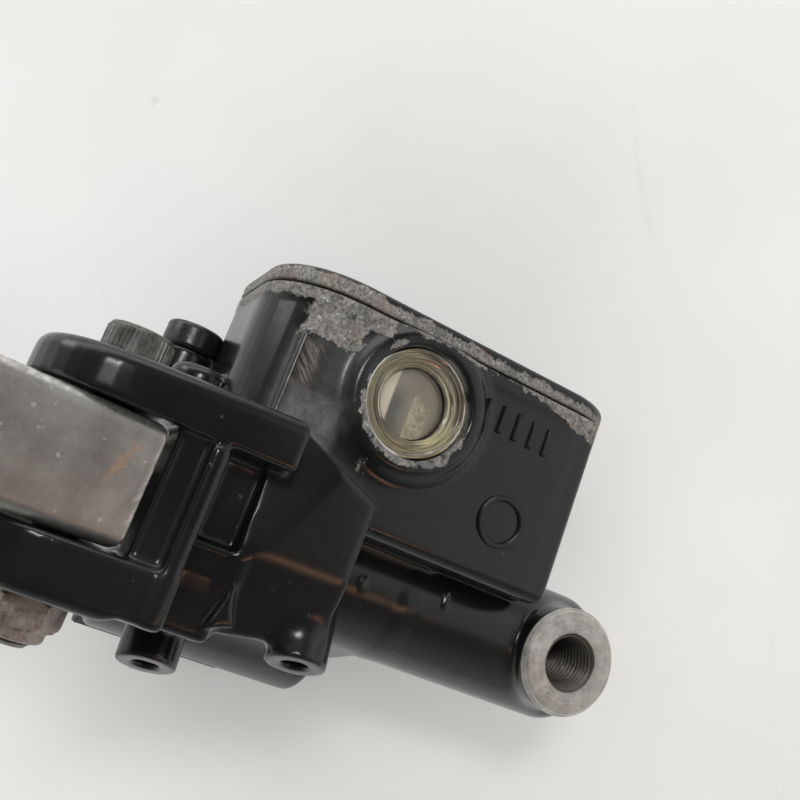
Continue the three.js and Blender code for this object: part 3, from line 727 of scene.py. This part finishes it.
def add_perch(c):
    """Two ears with the walls and ridges between them, the faceted block beside them, and small bosses."""
    upper = prism("z", ear_outline([(-61.5, -30.0), (-61.5, 6.0)], -81.0, 17.2), 4, 18, 2.2)
    upper = limited(upper, lambda x, y, z: z - 15.6 - (x + 99) * 0.0447, 2.4)
    c.add(limited(upper, lambda x, y, z: EAR_HIGH - z, 0.8), 1.2)
    end = [(-70.2, -30.0), (-70.2, -22.0), (-62.6, -22.0), (-62.6, 6.0)]
    lower = prism("z", ear_outline(end, -80.0, 14.0), -16.1, -3, 2.0)
    lower = limited(lower, lambda x, y, z: -14.9 - z - np.clip(-0.6 * (x + 75.5), 0, 1.4), 0.8)
    c.add(limited(lower, lambda x, y, z: z - EAR_LOW, 0.8), 1.2)
    # walls between the ears
    c.add(cuboid(-77.2, -70.2, -28.7, -19, PERCH_BASE, PERCH_TOP, 0.9), 1.2)
    c.add(cuboid(-72.9, -70.3, -30.35, -26, PERCH_BASE, 9.5, 0.9), 0.9)
    c.add(cuboid(-73.2, -62.3, -22, -6, PERCH_BASE, PERCH_TOP, 0.8), 2.0)
    # the block: one facet faces the front, and below it the face recedes
    sides = [(BLOCK_LEFT, -14), (BLOCK_RIGHT, -11.2), (BLOCK_RIGHT, 10.8), (-60, 16.5), (BLOCK_LEFT, 16.5)]
    facet = lambda x, y, z: -0.150 * (x + 61.5) - 0.986 * (y + 24.4) + 0.078 * (z + 2)
    receding = lambda x, y, z: -0.94 * (y + 24.4) - 0.342 * (z + 1.9)
    c.add(limited(limited(prism("y", sides, -24.5, 6, 1.0), facet, 0.15), receding, 0.65), 1.2)
    c.add(limited(cuboid(-72, -61.3, -24.0, -10, -14.9, -2.4, 0.8), receding, 0.4), 0.8)
    c.add(prism("y", [(-61.6, -6.6), (-63.4, -13.2), (-59.6, -11.9)], -23.2, -16, 0.4), 0.8)
    # plate under the perch, low boss on top of it, and the mirror boss
    c.add(cuboid(-80, -57, -3, 8, -17.2, -14, 0.7), 2.0)
    c.add(drum("z", (-73.4, -3, 0), 5.0, 12, 21.9, 1.6), 1.0)
    c.add(drum("z", (*MIRROR, 0), 5.2, 9.5, 25.8, 0.4), 1.0)


def clamp_half(body):
    """The casting's half of the clamp, on the body's own grid, cut off at the split plane."""
    c = Cast(body.low, body.low + 1)
    c.axes, c.d = body.axes, np.full(body.d.shape, FAR, np.float32)
    c.add(drum("x", CLAMP, CLAMP_R, -70, -27, 1.6))
    c.add(on_clamp(cuboid(-16, 16, -FLANGE, FLANGE, -6.2, 3, 1.3)), 2.5)
    c.add(prism("x", [(2, -11), (27, -17), (27, 7.5), (2, 9)], -68, -28, 1.2), 3.0)
    c.cut(on_clamp(cuboid(-30, 30, -70, 40, -0.3, 60, 0.01)))
    return c


def cut_reservoir(c):
    """Flat top, hollow, screw columns, the cover's recess and the sight glass's seat."""
    c.cut(cuboid(-80, 0, -30, 30, TANK["z1"], 60, 0.01))
    hollow = rounded_rect(TANK["x0"] + WALL, TANK["x1"] - WALL, TANK["y"] - WALL, 9.5, 5)
    c.cut(prism("z", hollow, 13, OPEN_TOP, 1.0))
    c.add(drum("y", GLASS, 10, -19, -14.5, 0.3), 1.0)
    for x in SCREWS_X:
        c.add(drum("z", (x, 0, 0), 4.2, 12, TANK["z1"], 0.3), 1.5)
        c.cut(drum("z", (x, 0, 0), 2.1, 24, OPEN_TOP, 0.1))
    c.cut(prism("z", rim_outline(1.9), TANK["z1"] - 1.2, OPEN_TOP, 0.1))
    c.cut(drum("y", GLASS, GLASS_SEAT_R, -40, -16.4, 0.2), 0.5)
    c.cut(drum("y", GLASS, 5.6, -17, -13, 0.1))


def cut_holes(c):
    """Bore and its wider mouth, hose hole, pivot and its counterbore, handlebar and bolt holes."""
    c.cut(drum("x", AXIS, BORE_R, -80, BORE_END, 0.3))
    c.cut(drum("x", AXIS, MOUTH_R, -78, MOUTH_END, 0.2), 0.4)
    c.cut(drum("y", AXIS, OUTLET_HOLE_R, -20, 3, 0.3))
    c.cut(drum("z", (*PIVOT, 0), PIVOT_HOLE_R, -30, 30, 0.1))
    c.cut(drum("z", (*PIVOT, 0), PIVOT_SEAT_R, 15.8, 30, 0.3), 0.3)
    c.cut(drum("x", CLAMP, BAR_R, -90, -18, 0.1), 0.6)
    for side in (-BOLT_OUT, BOLT_OUT):
        c.cut(on_clamp(drum("z", (0, side, 0), 3.2, -8.5, 1, 0.1)))
    c.cut(drum("z", (*MIRROR, 0), 3.9, 14, 40, 0.1), 0.4)
    for at, _ in SWITCHES:
        c.cut(leaning(SWITCH_TILT, at, drum("z", AXIS, 1.9, -3, 8, 0.1)), 0.5)


def body_cast():
    c = Cast((-98.6, -31.6, -26.6), (10.8, 56.6, 39.2))
    add_reservoir(c)
    add_perch(c)
    c.d = smooth_min(c.d, clamp_half(c).d, 2.0)
    for at, length in SWITCHES:
        c.add(leaning(SWITCH_TILT, at, drum("z", AXIS, 4.5, 0, length, 0.35)), 1.8)
    for x, z0, z1 in BARREL_MARKS:
        c.add(drum("z", (x, -11.1, 0), 0.34, z0, z1, 0.25), 0.6)
    cut_reservoir(c)
    cut_holes(c)
    return c


def inside_box(p, low, high, soft):
    """1 well inside a box and 0 outside it, falling over `soft` millimetres."""
    gap = np.maximum(np.array(low) - p, p - np.array(high)).max(1)
    return np.clip(0.5 - gap / (2 * soft), 0, 1)


def near_spot(p, at, radius, soft):
    return np.clip(0.5 - (np.linalg.norm(p - np.array(at), axis=1) - radius) / (2 * soft), 0, 1)


# spots of lost paint: place, radius and amount
WORN_SPOTS = (
    ((-50.2, FRONT, 15.6), 1.3, 0.66), ((-48.6, FRONT, 14.6), 1.0, 0.62), ((-45.0, FRONT, 14.0), 1.2, 0.5),
    ((-41.2, FRONT, 15.4), 1.0, 0.46), ((-24.2, -11.3, 2.6), 1.1, 0.6), ((-39.2, -11.3, 0), 0.8, 0.6),
)


def above(z, level, soft):
    """0 below a level and 1 above it, rising over `soft` millimetres."""
    return np.clip(0.5 + (z - level) / soft, 0, 1)


def body_wear(p):
    """How far the paint is gone at each point: 1 is bare."""
    x, y, z = p.T
    wear = np.zeros(len(p))

    def put(values, most=1.0):
        np.maximum(wear, values * most, out=wear)

    # the patch at the pad's left end, then the rim from left to right
    put(inside_box(p, (PAD_LEFT, -22, 30.6), (-56.2, -13, 40), 1.3))
    put(inside_box(p, (PAD_LEFT, -22, 34.8), (-52.6, -13, 40), 1.0))
    front = np.clip((-6 - y) / 9, 0, 1)
    left = np.clip((11 - y) / 9, 0, 1) * (x < -57)
    put(left * above(z, 35.7, 2.2), 0.95)
    put(front * (x > -57) * above(z, 37.1, 1.6), 0.70)
    put(front * (x > -27) * above(z, 37.3 - np.clip((x + 26) / 15, 0, 1) * 3.8, 1.6), 0.95)
    # the ring of the sight glass: most on its lower left, and one chip at its upper left
    around = np.hypot(x - GLASS[0], z - GLASS[2])
    sideways = np.clip((GLASS[2] + 3 - z) / 10, 0, 1) + 0.3 * np.clip((GLASS[0] - 2 - x) / 6, 0, 1)
    sideways = np.clip(sideways, 0, 1)
    raised = y < FRONT
    ring = above(GLASS_SEAT_R + 1.5 * sideways, around, 1.3) * (around > 8.2) * raised
    put(ring * (0.34 + 0.36 * sideways))
    chip = np.abs(np.degrees(np.arctan2(z - GLASS[2], x - GLASS[0])) - 134)
    put(np.clip(1.4 - chip / 22, 0, 1) * np.clip(1.5 - np.abs(around - 9.5) / 0.5, 0, 1) * raised, 0.62)
    for at, radius, amount in WORN_SPOTS:
        put(near_spot(p, at, radius, 1.6), amount)
    return wear


def body_scuff(p):
    """Where the pad's left end is rubbed grey: 1 is most."""
    low = inside_box(p, (-64.2, -21, 11), (-56.2, -16, 22.5), 1.6)
    high = inside_box(p, (-63.8, -21, 20), (-54.8, -16, 33), 1.8)
    edge = inside_box(p, (-66.4, -21, 9), (-64.6, -14, 31), 0.7)
    return np.maximum(low, np.maximum(0.38 * high, 0.22 * edge))


def body_scratch(p):
    """Where the pad's left end is scored brown."""
    return 0.6 * inside_box(p, (-64.3, -21, 23.0), (-62.0, -16, 29.3), 0.8)


points, quads = body_cast().surface()
body = make_mesh("body_casting_detail", metres(points), quads)
attribute(body, "wear", body_wear(points))
attribute(body, "scuff", body_scuff(points))
attribute(body, "scratch", body_scratch(points))
finish_piece(body, PAINT, "body_paint", "body_casting")


# raised marks on the front wall: a plain level scale and a plain ring, both without meaning
BAR_STEPS = ((-20.0, -0.1), (-20.7, 0.02), (-21.0, 0.2))  # y and inset from back to front


def wall_bars(name, bars):
    """Small raised bars on the front wall: each is (x, z, half width, half height)."""
    points, faces = [], []
    for x, z, w, h in bars:
        first = len(points)
        for y, inset in BAR_STEPS:
            u, v = w - inset, h - inset
            points += [(x - u, y, z - v), (x + u, y, z - v), (x + u, y, z + v), (x - u, y, z + v)]
        for low in (first, first + 4):
            faces += [(low + i, low + (i + 1) % 4, low + 4 + (i + 1) % 4, low + 4 + i) for i in range(4)]
        faces += [tuple(first + i for i in (3, 2, 1, 0)), tuple(first + 8 + i for i in range(4))]
    mesh = bpy.data.meshes.new(name)
    mesh.from_pydata([tuple(q) for q in metres(points)], [], faces)
    return linked(name, mesh)


level_bars = [(-33.5 + 3.0 * i, 31.4 - 0.1 * i, 0.42, 2.2) for i in range(5)]
level_foot = (-34.4, 27.2, 0.9, 0.36)
finish_piece(wall_bars("level_marks", level_bars + [level_foot]), PAINT, "body_paint")
wall_rings = [(3.15, 20.0), (3.25, 20.7), (3.45, 20.95), (3.95, 20.95), (4.15, 20.7), (4.25, 20.0),
              (3.15, 20.0)]
finish_piece(turned("wall_ring", (-24.7, 0, 16.3), FORWARD, wall_rings), PAINT, "body_paint")


# ---- turned pieces ----

def hexagon(apothem):
    return lambda a: apothem / np.cos((a + np.pi / 6) % (np.pi / 3) - np.pi / 6)


def clipped_hexagon(apothem, r):
    return lambda a: np.minimum(hexagon(apothem)(a), r)


def thread(r, depth, pitch, t):
    """Radius of a screw thread at height t: its ridge climbs one pitch a turn."""
    def radius(a):
        turn = (t / pitch - a / (2 * np.pi)) % 1
        return r + depth * np.clip(np.abs(2 * turn - 1) * 1.6 - 0.3, 0, 1)
    return radius


def thread_rings(r, depth, pitch, t0, t1, step):
    return [(thread(r, depth, pitch, t), t) for t in np.arange(t0, t1 + step / 2, step)]


def corner(r, t, size, steps=4):
    """Quarter round from (r, t - size) to (r - size, t)."""
    a = np.linspace(0, np.pi / 2, steps + 1)
    return [(r - size * (1 - math.cos(v)), t - size + size * math.sin(v)) for v in a]


# hose outlet: faced seat, countersink and M10 thread
hose_rings = [(0, -2.9), (7.5, -2.9), (7.5, 13.3), (9.04, 13.3), (9.06, 13.6), (8.3, 14.45), (8.15, 14.5)]
hose_rings += [(5.02, 14.5), (4.92, 14.44), (4.62, 14.0)]
hose_rings += thread_rings(4.3, 0.5, 1.0, -1.0, 13.9, 0.125)[::-1] + [(4.3, -1.1), (0, -2.4)]
hose_seat = turned("hose_seat_insert", AXIS, FORWARD, hose_rings, 128)
finish_piece(hose_seat, MACHINED, "bare_aluminium")


def socket_screw(name, at, direction, sizes, material, slot, node, knurls=0):
    """Socket-head screw; sizes are its radius, the head's radius and height, and its length."""
    r, head_r, head_h, length = sizes
    side = [(head_r, 0.35), (head_r, head_h - 0.45)]
    if knurls:
        ridge = lambda a: head_r - 0.12 + 0.12 * np.clip(1.6 * np.cos(knurls * a), -1, 1)
        side = [(head_r - 0.2, 0.45), (ridge, 0.6), (ridge, head_h - 0.75), (head_r - 0.2, head_h - 0.6)]
    key = hexagon(r * 0.83)
    threaded = 4.0 - length
    rings = [(0, -length), (r - 0.6, -length)]
    rings += thread_rings(r - 0.35, 0.35, 0.8, 0.4 - length, threaded, 0.1)
    rings += [(r, threaded + 0.2), (r, 0), (head_r - 0.3, 0)] + side
    rings += corner(head_r - (0.2 if knurls else 0), head_h, 0.45)
    rings += [(r * 1.02, head_h), (key, head_h - 0.25), (key, head_h * 0.45), (0, head_h * 0.45 - 0.4)]
    screw = turned(name, at, direction, rings, knurls * 8 or 96, 24)
    finish_piece(screw, material, slot, node)


PIVOT_BOLT = (3, 4.8, 4.6, 39.1)
socket_screw("pivot_bolt_detail", (*PIVOT, 16.1), UPWARD, PIVOT_BOLT, OXIDE, "black_oxide", "pivot_bolt", 44)

nut_radii = ((5.25, 0), (5.75, 0.5), (5.9, 2.9), (5.6, 3.5), (5.1, 3.95))
nut_sides = [(clipped_hexagon(4.98, r), t) for r, t in nut_radii]
nut_collar = [(4.45, 4.2), (4.35, 4.4), (4.3, 5.2), (4.15, 5.5), (3.9, 5.7), (3.3, 5.7), (3.3, 0)]
nut = turned("pivot_nut_detail", (*PIVOT, -16.4), (0, 0, -1), [(3.3, 0)] + nut_sides + nut_collar, 120, 22)
finish_piece(nut, NUT_STEEL, "dull_steel", "pivot_nut")

plug_rings = [(0, -9), (3.1, -9), (3.6, -8), (3.6, 0), (4.6, 0), (4.75, 0.15), (4.85, 0.45), (5, 0.6)]
plug_rings += corner(5, 4.4, 0.9, 6) + [(2.5, 4.48), (0, 4.5)]
plug = turned("mirror_plug_detail", (*MIRROR, 26.1), UPWARD, plug_rings, 96, 40)
finish_piece(plug, PLUG, "nylon", "mirror_plug")

CLAMP_BOLT, CLAMP_BOLT_SEAT = (2.9, 5, 6, 14), 6.8
tilt_cos, tilt_sin = math.cos(math.radians(CLAMP_TILT)), math.sin(math.radians(CLAMP_TILT))
for i, t in enumerate((-BOLT_OUT, BOLT_OUT)):
    at_y = CLAMP[1] + t * tilt_cos + CLAMP_BOLT_SEAT * tilt_sin
    at_z = CLAMP[2] - t * tilt_sin + CLAMP_BOLT_SEAT * tilt_cos
    bolt, out = f"clamp_bolt_{i + 1}", (0, tilt_sin, tilt_cos)
    socket_screw(bolt + "_detail", (-54, at_y, at_z), out, CLAMP_BOLT, ZINC, "zinc_steel", bolt)

BOOT_BASE = -70.3
boot_inside = [(7.2, BOOT_BASE), (6.3, -71.4), (7.4, -72.3), (5.9, -73.2), (6.6, -74.1), (4.9, -74.9)]
boot_outside = [(4.9, -75.6), (5.9, -75.6), (7.7, -74.2), (7, -73.3), (8.4, -72.3), (7.4, -71.4),
                (8.6, BOOT_BASE), (7.2, BOOT_BASE)]
boot = turned("dust_boot_detail", AXIS, (1, 0, 0), boot_inside + boot_outside, 96, 60)
finish_piece(boot, RUBBER, "rubber", "dust_boot")
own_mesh(boot)


def coil(name, r, wire, x0, x1, turns):
    """Spring wire along the bore, with its ends closed."""
    n, m = int(turns * 40), 12
    t = np.linspace(0, 1, n + 1)
    a = 2 * np.pi * turns * t
    centre = np.stack([x0 + (x1 - x0) * t, r * np.cos(a), r * np.sin(a)], 1)
    out = np.stack([0 * a, np.cos(a), np.sin(a)], 1)
    b = np.linspace(0, 2 * np.pi, m, endpoint=False)
    along = np.array([1.0, 0, 0])
    section = np.cos(b)[None, :, None] * out[:, None] + np.sin(b)[None, :, None] * along
    points = centre[:, None] + wire * section
    obj = make_mesh(name, metres(points.reshape(-1, 3)), tube_quads(n, m))
    mend(obj, lambda mesh: bmesh.ops.holes_fill(mesh, edges=mesh.edges, sides=0))
    return obj


SPRING_END = -11.0
spring = coil("return_spring_detail", 5.2, 0.6, -37.3, SPRING_END, 8)
finish_piece(spring, ZINC, "zinc_steel", "return_spring")
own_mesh(spring)


# ---- sight glass ----

lens_back = [(0, 17.9), (5.9, 17.9), (5.95, 18.95), (8.25, 18.95), (8.35, 19.1)]
lens_rim = [(8.35, 20.75), (8.1, 21.0), (7.8, 21.05), (7.6, 20.85), (7.3, 20.8), (7.15, 20.95), (6.95, 20.95),
            (6.75, 20.7), (6.45, 20.6), (6.3, 20.68), (6.1, 20.55), (5.85, 20.0), (5.65, 19.6)]
lens_face = [(5.3, 19.45), (3.0, 19.38), (0, 19.35)]
lens = turned("sight_lens_detail", GLASS, FORWARD, lens_back + lens_rim + lens_face, 128, 24)
finish_piece(lens, LENS, "sight_lens", "sight_lens")

retainer_rings = [(6.0, 17.95), (8.3, 17.95), (8.3, 18.85), (7.9, 18.9), (7.5, 18.75), (7.1, 18.85),
                  (6.7, 18.7), (6.3, 18.6), (6.0, 18.3), (6.0, 17.95)]
finish_piece(turned("sight_retainer", GLASS, FORWARD, retainer_rings), RETAINER, "reflector")

# the reflector's face falls back to both sides of its middle, like a shallow roof
BACK_FACE, ROOF_SLOPE = 17.55, 0.06
back_rings = [(0, 16.8), (5.7, 16.8)] + [(r, BACK_FACE) for r in (5.7, 5, 4, 3, 2, 1, 0)]
reflector = turned("sight_reflector_detail", GLASS, FORWARD, back_rings)
for vertex in reflector.data.vertices:
    if vertex.co.z > 0.0171:
        vertex.co.z -= ROOF_SLOPE * abs(vertex.co.x)
finish_piece(reflector, REFLECTOR, "reflector", "sight_reflector")


# ---- reservoir cover ----

COVER_ROUND = 1.1
cover_steps = [(2.4, COVER_BASE + 1.7), (2.4, COVER_BASE), (0.22, COVER_BASE), (0.0, COVER_BASE + 0.2)]
cover_steps += [(0.0, z) for z in np.linspace(COVER_BASE + 0.5, COVER_TOP - COVER_ROUND, 5)]
for a in np.radians((15, 30, 45, 60, 75, 90)):
    cover_steps.append((COVER_ROUND * (1 - math.cos(a)), COVER_TOP - COVER_ROUND + COVER_ROUND * math.sin(a)))
cover = stacked("reservoir_cover_detail", [(rim_outline(inset), z) for inset, z in cover_steps])
SINK = [(0, 38), (2.4, 38), (2.4, 38.7), (4.6, 41.0), (4.6, 42), (0, 42)]
bore_out(cover, *[turned("sink", (x, 0, 0), UPWARD, SINK, 64) for x in SCREWS_X])
place = np.zeros(len(cover.data.vertices) * 3)
cover.data.vertices.foreach_get("co", place)
x, y, z = (place.reshape(-1, 3) * 1000 - ORIGIN).T
reach = 0.80 - 0.28 * np.clip((x + 62) / 22, 0, 1)
height = (z - COVER_BASE) / (COVER_TOP - COVER_BASE)
side = np.clip((13 - y) / 8, 0, 1) * (height > -0.01)
attribute(cover, "wear", side * above(reach, height, 0.75) * 0.97)
finish_piece(cover, COVER_PAINT, "cover_paint", "reservoir_cover")

SLOT_REACH, SLOT_HALF = 2.3, 0.42
HEAD = [(0, -15), (1.7, -15), (1.8, -2.4), (4.1, -0.25), (4.15, 0), (3.9, 0.15), (2.5, 0.3), (0, 0.35)]
for i, x in enumerate(SCREWS_X):
    screw = turned(f"cover_screw_{i + 1}_detail", (x, 0, 41.0), UPWARD, HEAD, 64)
    slots = []
    for quarter in (0, math.pi / 2):
        a = 0.6 + 1.1 * i + quarter
        ux, uy = math.cos(a), math.sin(a)
        ends = [(p * SLOT_REACH, q * SLOT_HALF) for p, q in ((-1, -1), (1, -1), (1, 1), (-1, 1))]
        wide = [(x + ux * p - uy * q, uy * p + ux * q) for p, q in ends]
        narrow = [(x + (u - x) * 0.6, v * 0.6) for u, v in wide]
        slots.append(stacked("slot", [(narrow, 39.4), (wide, 41.6)]))
    bpy.context.view_layer.update()
    bore_out(screw, *slots)
    finish_piece(screw, ZINC, "zinc_steel", f"cover_screw_{i + 1}")


# ---- lever and clamp cap ----

def bend(a, c, b, n=8):
    """Points of a quadratic curve from a to b with its control at c, without a."""
    share = np.linspace(0, 1, n + 1)[1:]
    return [tuple((1 - t) ** 2 * a[i] + 2 * t * (1 - t) * c[i] + t * t * b[i] for i in (0, 1)) for t in share]


def lever_outline():
    """Plan of the lever: along its back edge to the tip, then along its front edge."""
    path = [(-78.3, -28.0), (-78.3, 2.6), (-81.0, 4.4)]
    back = (((-88, -3), (-95, -9.5)), ((-104, -18), (-116, -21.5)), ((-160, -28), (-205, -16)),
            ((-232, -7), (-248, -3.5)))
    front = ((-226, -17), (-205, -24.5)), ((-160, -39), (-118, -33.5)), ((-108, -31.4), (-78.3, -28))
    for control, end in back:
        path += bend(path[-1], control, end)
    path += [(-251.0, -11.5)]
    for control, end in front:
        path += bend(path[-1], control, end)
    return path[:-1]


def ball(at, r):
    def distance(x, y, z):
        return np.sqrt((x - at[0]) ** 2 + (y - at[1]) ** 2 + (z - at[2]) ** 2) - r
    return np.array(at) - r, np.array(at) + r, distance


def lever_cast():
    c = Cast((-261, -38.5, -8.4), (-75, 6, 10.3))
    side = [(-70, -7.5), (-70, 9.4), (-107.0, 9.4), (-132.0, 6.6), (-258.0, 6.0)]
    side += [(-258.0, -4.2), (-132.0, -4.8), (-107.0, -7.5)]
    low, high, blade = prism("z", lever_outline(), -12, 14, 0.1)
    c.add((low, high, lambda x, y, z: rounded(blade(x, y, z), outline_distance(side, x, z), 1.9)))
    nose = [(-84, -14), (-79, -13), (-77.4, -4)] + bend((-77.4, -4), (-75.9, 0.6), (-78.4, 3.4), 6)
    nose.append((-84, 3))
    c.add(prism("z", nose, -4.5, 4.9, 0.8), 0.8)
    c.add(ball((-252, -6.5, 0.9), 8.2), 3.5)
    c.cut(drum("z", (*PIVOT, 0), 5.0, -20, 20, 0.1), 0.3)
    return c


def lever_rubbed_and_highlight(p):
    """Where the lever's front edges, upper and right, are rubbed bright and carry a painted highlight."""
    x, y, z = p.T
    upper, right = np.clip((z - 7.6) / 1.3, 0, 1), np.clip((x + 79.9) / 1.1, 0, 1)
    return np.maximum(upper, 0.8 * right) * np.clip((-24 - y) / 2, 0, 1)


def lever_painted_copper_reflection(p):
    """One leaning copper-coloured spot near the right end of the lever's front: a painted reflection."""
    x, y, z = p.T
    (x0, z0), (x1, z1) = (-83.5, 0.4), (-81.5, 5.6)
    middle = x0 + np.clip((z - z0) / (z1 - z0), 0, 1) * (x1 - x0)
    off = np.hypot(x - middle, z - np.clip(z, z0, z1))
    return np.clip(1.12 - off / 1.8, 0, 1) * (y < -24)


points, quads = lever_cast().surface()
lever = make_mesh("brake_lever_detail", metres(points), quads)
attribute(lever, "rubbed", lever_rubbed_and_highlight(points))
attribute(lever, "painted_copper_reflection", lever_painted_copper_reflection(points))
finish_piece(lever, LEVER_METAL, "bare_aluminium", "brake_lever", body="lever")
bush_rings = [(3.15, -7.5), (4.7, -7.5), (4.8, -7.3), (4.8, 9.2), (4.7, 9.4), (3.15, 9.4), (3.15, -7.5)]
bush = turned("lever_bush_detail", (*PIVOT, 0), UPWARD, bush_rings, 64)
finish_piece(bush, BRONZE, "bush_bronze", "lever_bush", body="lever")


def cap_cast():
    c = Cast((-69, 12, -34), (-39, 62, 16))
    c.add(drum("x", CLAMP, CAP_R, -67, -41, 1.4))
    c.add(on_clamp(cuboid(-13, 13, -FLANGE, FLANGE, -3, 6.5, 1.2)), 2.5)
    c.cut(on_clamp(cuboid(-30, 30, -40, 40, -60, 0.3, 0.01)), 0.5)
    c.cut(drum("x", CLAMP, BAR_R, -90, -18, 0.1), 0.6)
    for t in (-BOLT_OUT, BOLT_OUT):
        c.cut(on_clamp(drum("z", (0, t, 0), 3.3, -1, 20, 0.1)))
        c.cut(on_clamp(drum("z", (0, t, 0), 5.6, 6.5, 20, 0.3)), 0.3)
    return c


points, quads = cap_cast().surface()
cap = make_mesh("clamp_cap_detail", metres(points), quads)
finish_piece(cap, PAINT, "body_paint", "clamp_cap")

# pieces inside keep their CAD shape
for node, material in {
    "reservoir_diaphragm": RUBBER, "diaphragm_plate": NYLON, "splash_plate": ZINC, "sight_seal": RUBBER,
    "piston": PISTON_METAL, "secondary_cup": RUBBER, "primary_cup": RUBBER, "spring_seat": ZINC,
    "stop_washer": ZINC, "piston_circlip": NUT_STEEL,
}.items():
    NODES[node].data.materials.clear()
    NODES[node].data.materials.append(material)


# ---- camera, lights and backdrop ----

AZIMUTH, ELEVATION, ROLL = (math.radians(a) for a in (20.8, 12.2, 20.8))
FLAT_LOOK = Vector((math.sin(AZIMUTH), math.cos(AZIMUTH), 0))
LOOK = math.cos(ELEVATION) * FLAT_LOOK + Vector((0, 0, math.sin(ELEVATION)))
LEVEL = Vector((math.cos(AZIMUTH), -math.sin(AZIMUTH), 0))
ABOVE = LEVEL.cross(LOOK)
RIGHT = math.cos(ROLL) * LEVEL + math.sin(ROLL) * ABOVE
UP = -math.sin(ROLL) * LEVEL + math.cos(ROLL) * ABOVE
CAMERA_AT = Vector(metres((-95.9, -147.1, -2.2)))
FOCUS = Vector(metres((-40, 0, 10)))  # the point that every lamp faces
TABLE_AT, TABLE_HALF = Vector(metres((-54, 58, -12))), 1.2


def facing(at, back):
    """Placement whose local -Z looks away from `back`, with the picture's up as its up."""
    z = back.normalized()
    x = UP.cross(z).normalized()
    y = z.cross(x)
    turn = Matrix((x, y, z)).transposed().to_4x4()
    return Matrix.Translation(at) @ turn


camera = linked("camera", bpy.data.cameras.new("camera"))
camera.data.lens = 41.4
camera.data.sensor_width = 36
camera.data.clip_start = 0.01
camera.matrix_world = Matrix.Translation(CAMERA_AT) @ Matrix((RIGHT, UP, -LOOK)).transposed().to_4x4()
bpy.context.scene.camera = camera


def softbox(name, azimuth, elevation, distance, wide, high, radiance, colour=(1, 1, 1), mirrored=True):
    """Lamp seen from the object at these angles from the camera (right and up) and of this brightness.
    One that isn't mirrored lights surfaces without showing in their gloss."""
    a, e = math.radians(azimuth), math.radians(elevation)
    away = math.sin(a) * math.cos(e) * RIGHT + math.sin(e) * UP - math.cos(a) * math.cos(e) * LOOK
    at = FOCUS + distance * away
    light = bpy.data.lights.new(name, "AREA")
    light.shape = "RECTANGLE"
    light.size, light.size_y = wide, high
    light.energy = 4 * wide * high * radiance
    light.color = colour
    obj = linked(name, light)
    obj.visible_glossy = mirrored
    obj.matrix_world = facing(at, at - FOCUS)
    return obj


softbox("general", -12, 34, 1.3, 1.5, 1.3, 0.80, mirrored=False)
softbox("general_right", 42, 4, 1.3, 1.0, 1.0, 0.78, mirrored=False)
softbox("general_low", -22, -30, 1.3, 1.2, 1.0, 0.7, mirrored=False)
softbox("table_low", -35, -55, 0.6, 0.5, 0.4, 1.4, mirrored=False)
softbox("window", 8, 27, 0.6, 0.13, 0.075, 22.0)
softbox("left_side", -86, 5, 0.5, 0.22, 0.5, 0.26).visible_diffuse = False
softbox("left_panel", -71, 49, 0.7, 0.30, 0.24, 2.6)
softbox("right_panel", 62, 2, 0.8, 0.55, 0.66, 0.42)
softbox("overhead", 15, 76, 0.8, 0.9, 0.5, 1.2)
softbox("warm", 34.0, -18.5, 0.5, 0.12, 0.03, 5.0, (1.0, 0.50, 0.30))

# the world is dim about the camera and brighter to the sides and behind; it shows as a pale backdrop
world = bpy.data.worlds.new("studio")
world.use_nodes = True
sky = Nodes(world.node_tree, "Generated")
from_camera = sky.node("VectorMath", {"operation": "DOT_PRODUCT"}, i0=sky.place, i1=-LOOK).outputs["Value"]
falling = sky.span(from_camera, 0.1, 0.8, 0.55, 0.07)
shown = sky.blend(sky.node("LightPath").outputs["Is Camera Ray"], falling, 0.68)
background = sky.nodes["Background"]
sky.feed(background.inputs[0], (1.0, 1.0, 0.985, 1))
sky.feed(background.inputs[1], shown)
bpy.context.scene.world = world
bpy.context.scene.view_settings.view_transform = "Standard"

backdrop_mesh = bpy.data.meshes.new("table")
corners = [(TABLE_HALF * x, TABLE_HALF * y, 0) for x, y in ((-1, -1), (1, -1), (1, 1), (-1, 1))]
backdrop_mesh.from_pydata(corners, [], [(0, 1, 2, 3)])
backdrop = linked("table", backdrop_mesh)
backdrop.matrix_world = facing(TABLE_AT, -LOOK)
table = Finish("table_pale")
cloud = table.noise(0.02, 3, 0.5)
pale = table.mix(table.span(cloud, 0.35, 0.65), (0.745, 0.75, 0.735), (0.77, 0.775, 0.76))
streaks = table.noise(0.03, 5, 0.7, at=table.stretched(6, 0.3, 1, (0, 0, 0.15)), seed=3)
pale = table.over(pale, streaks, 0.60, 0.70, 0.25, (0.62, 0.62, 0.61))
spots = table.noise(0.12, 2, 0.5, seed=4)
pale = table.over(pale, spots, 0.74, 0.78, 0.35, (0.55, 0.54, 0.52))
table.set(Base_Color=pale, Roughness=0.6)
through = table.node("BsdfTransparent")
sides = table.node("MixShader")
table.feed(sides.inputs[0], table.node("NewGeometry").outputs["Backfacing"])
table.feed(sides.inputs[1], table.shader.outputs[0])
table.feed(sides.inputs[2], through.outputs[0])
table.feed(table.nodes["Material Output"].inputs["Surface"], sides.outputs[0])
backdrop.data.materials.append(table.material)
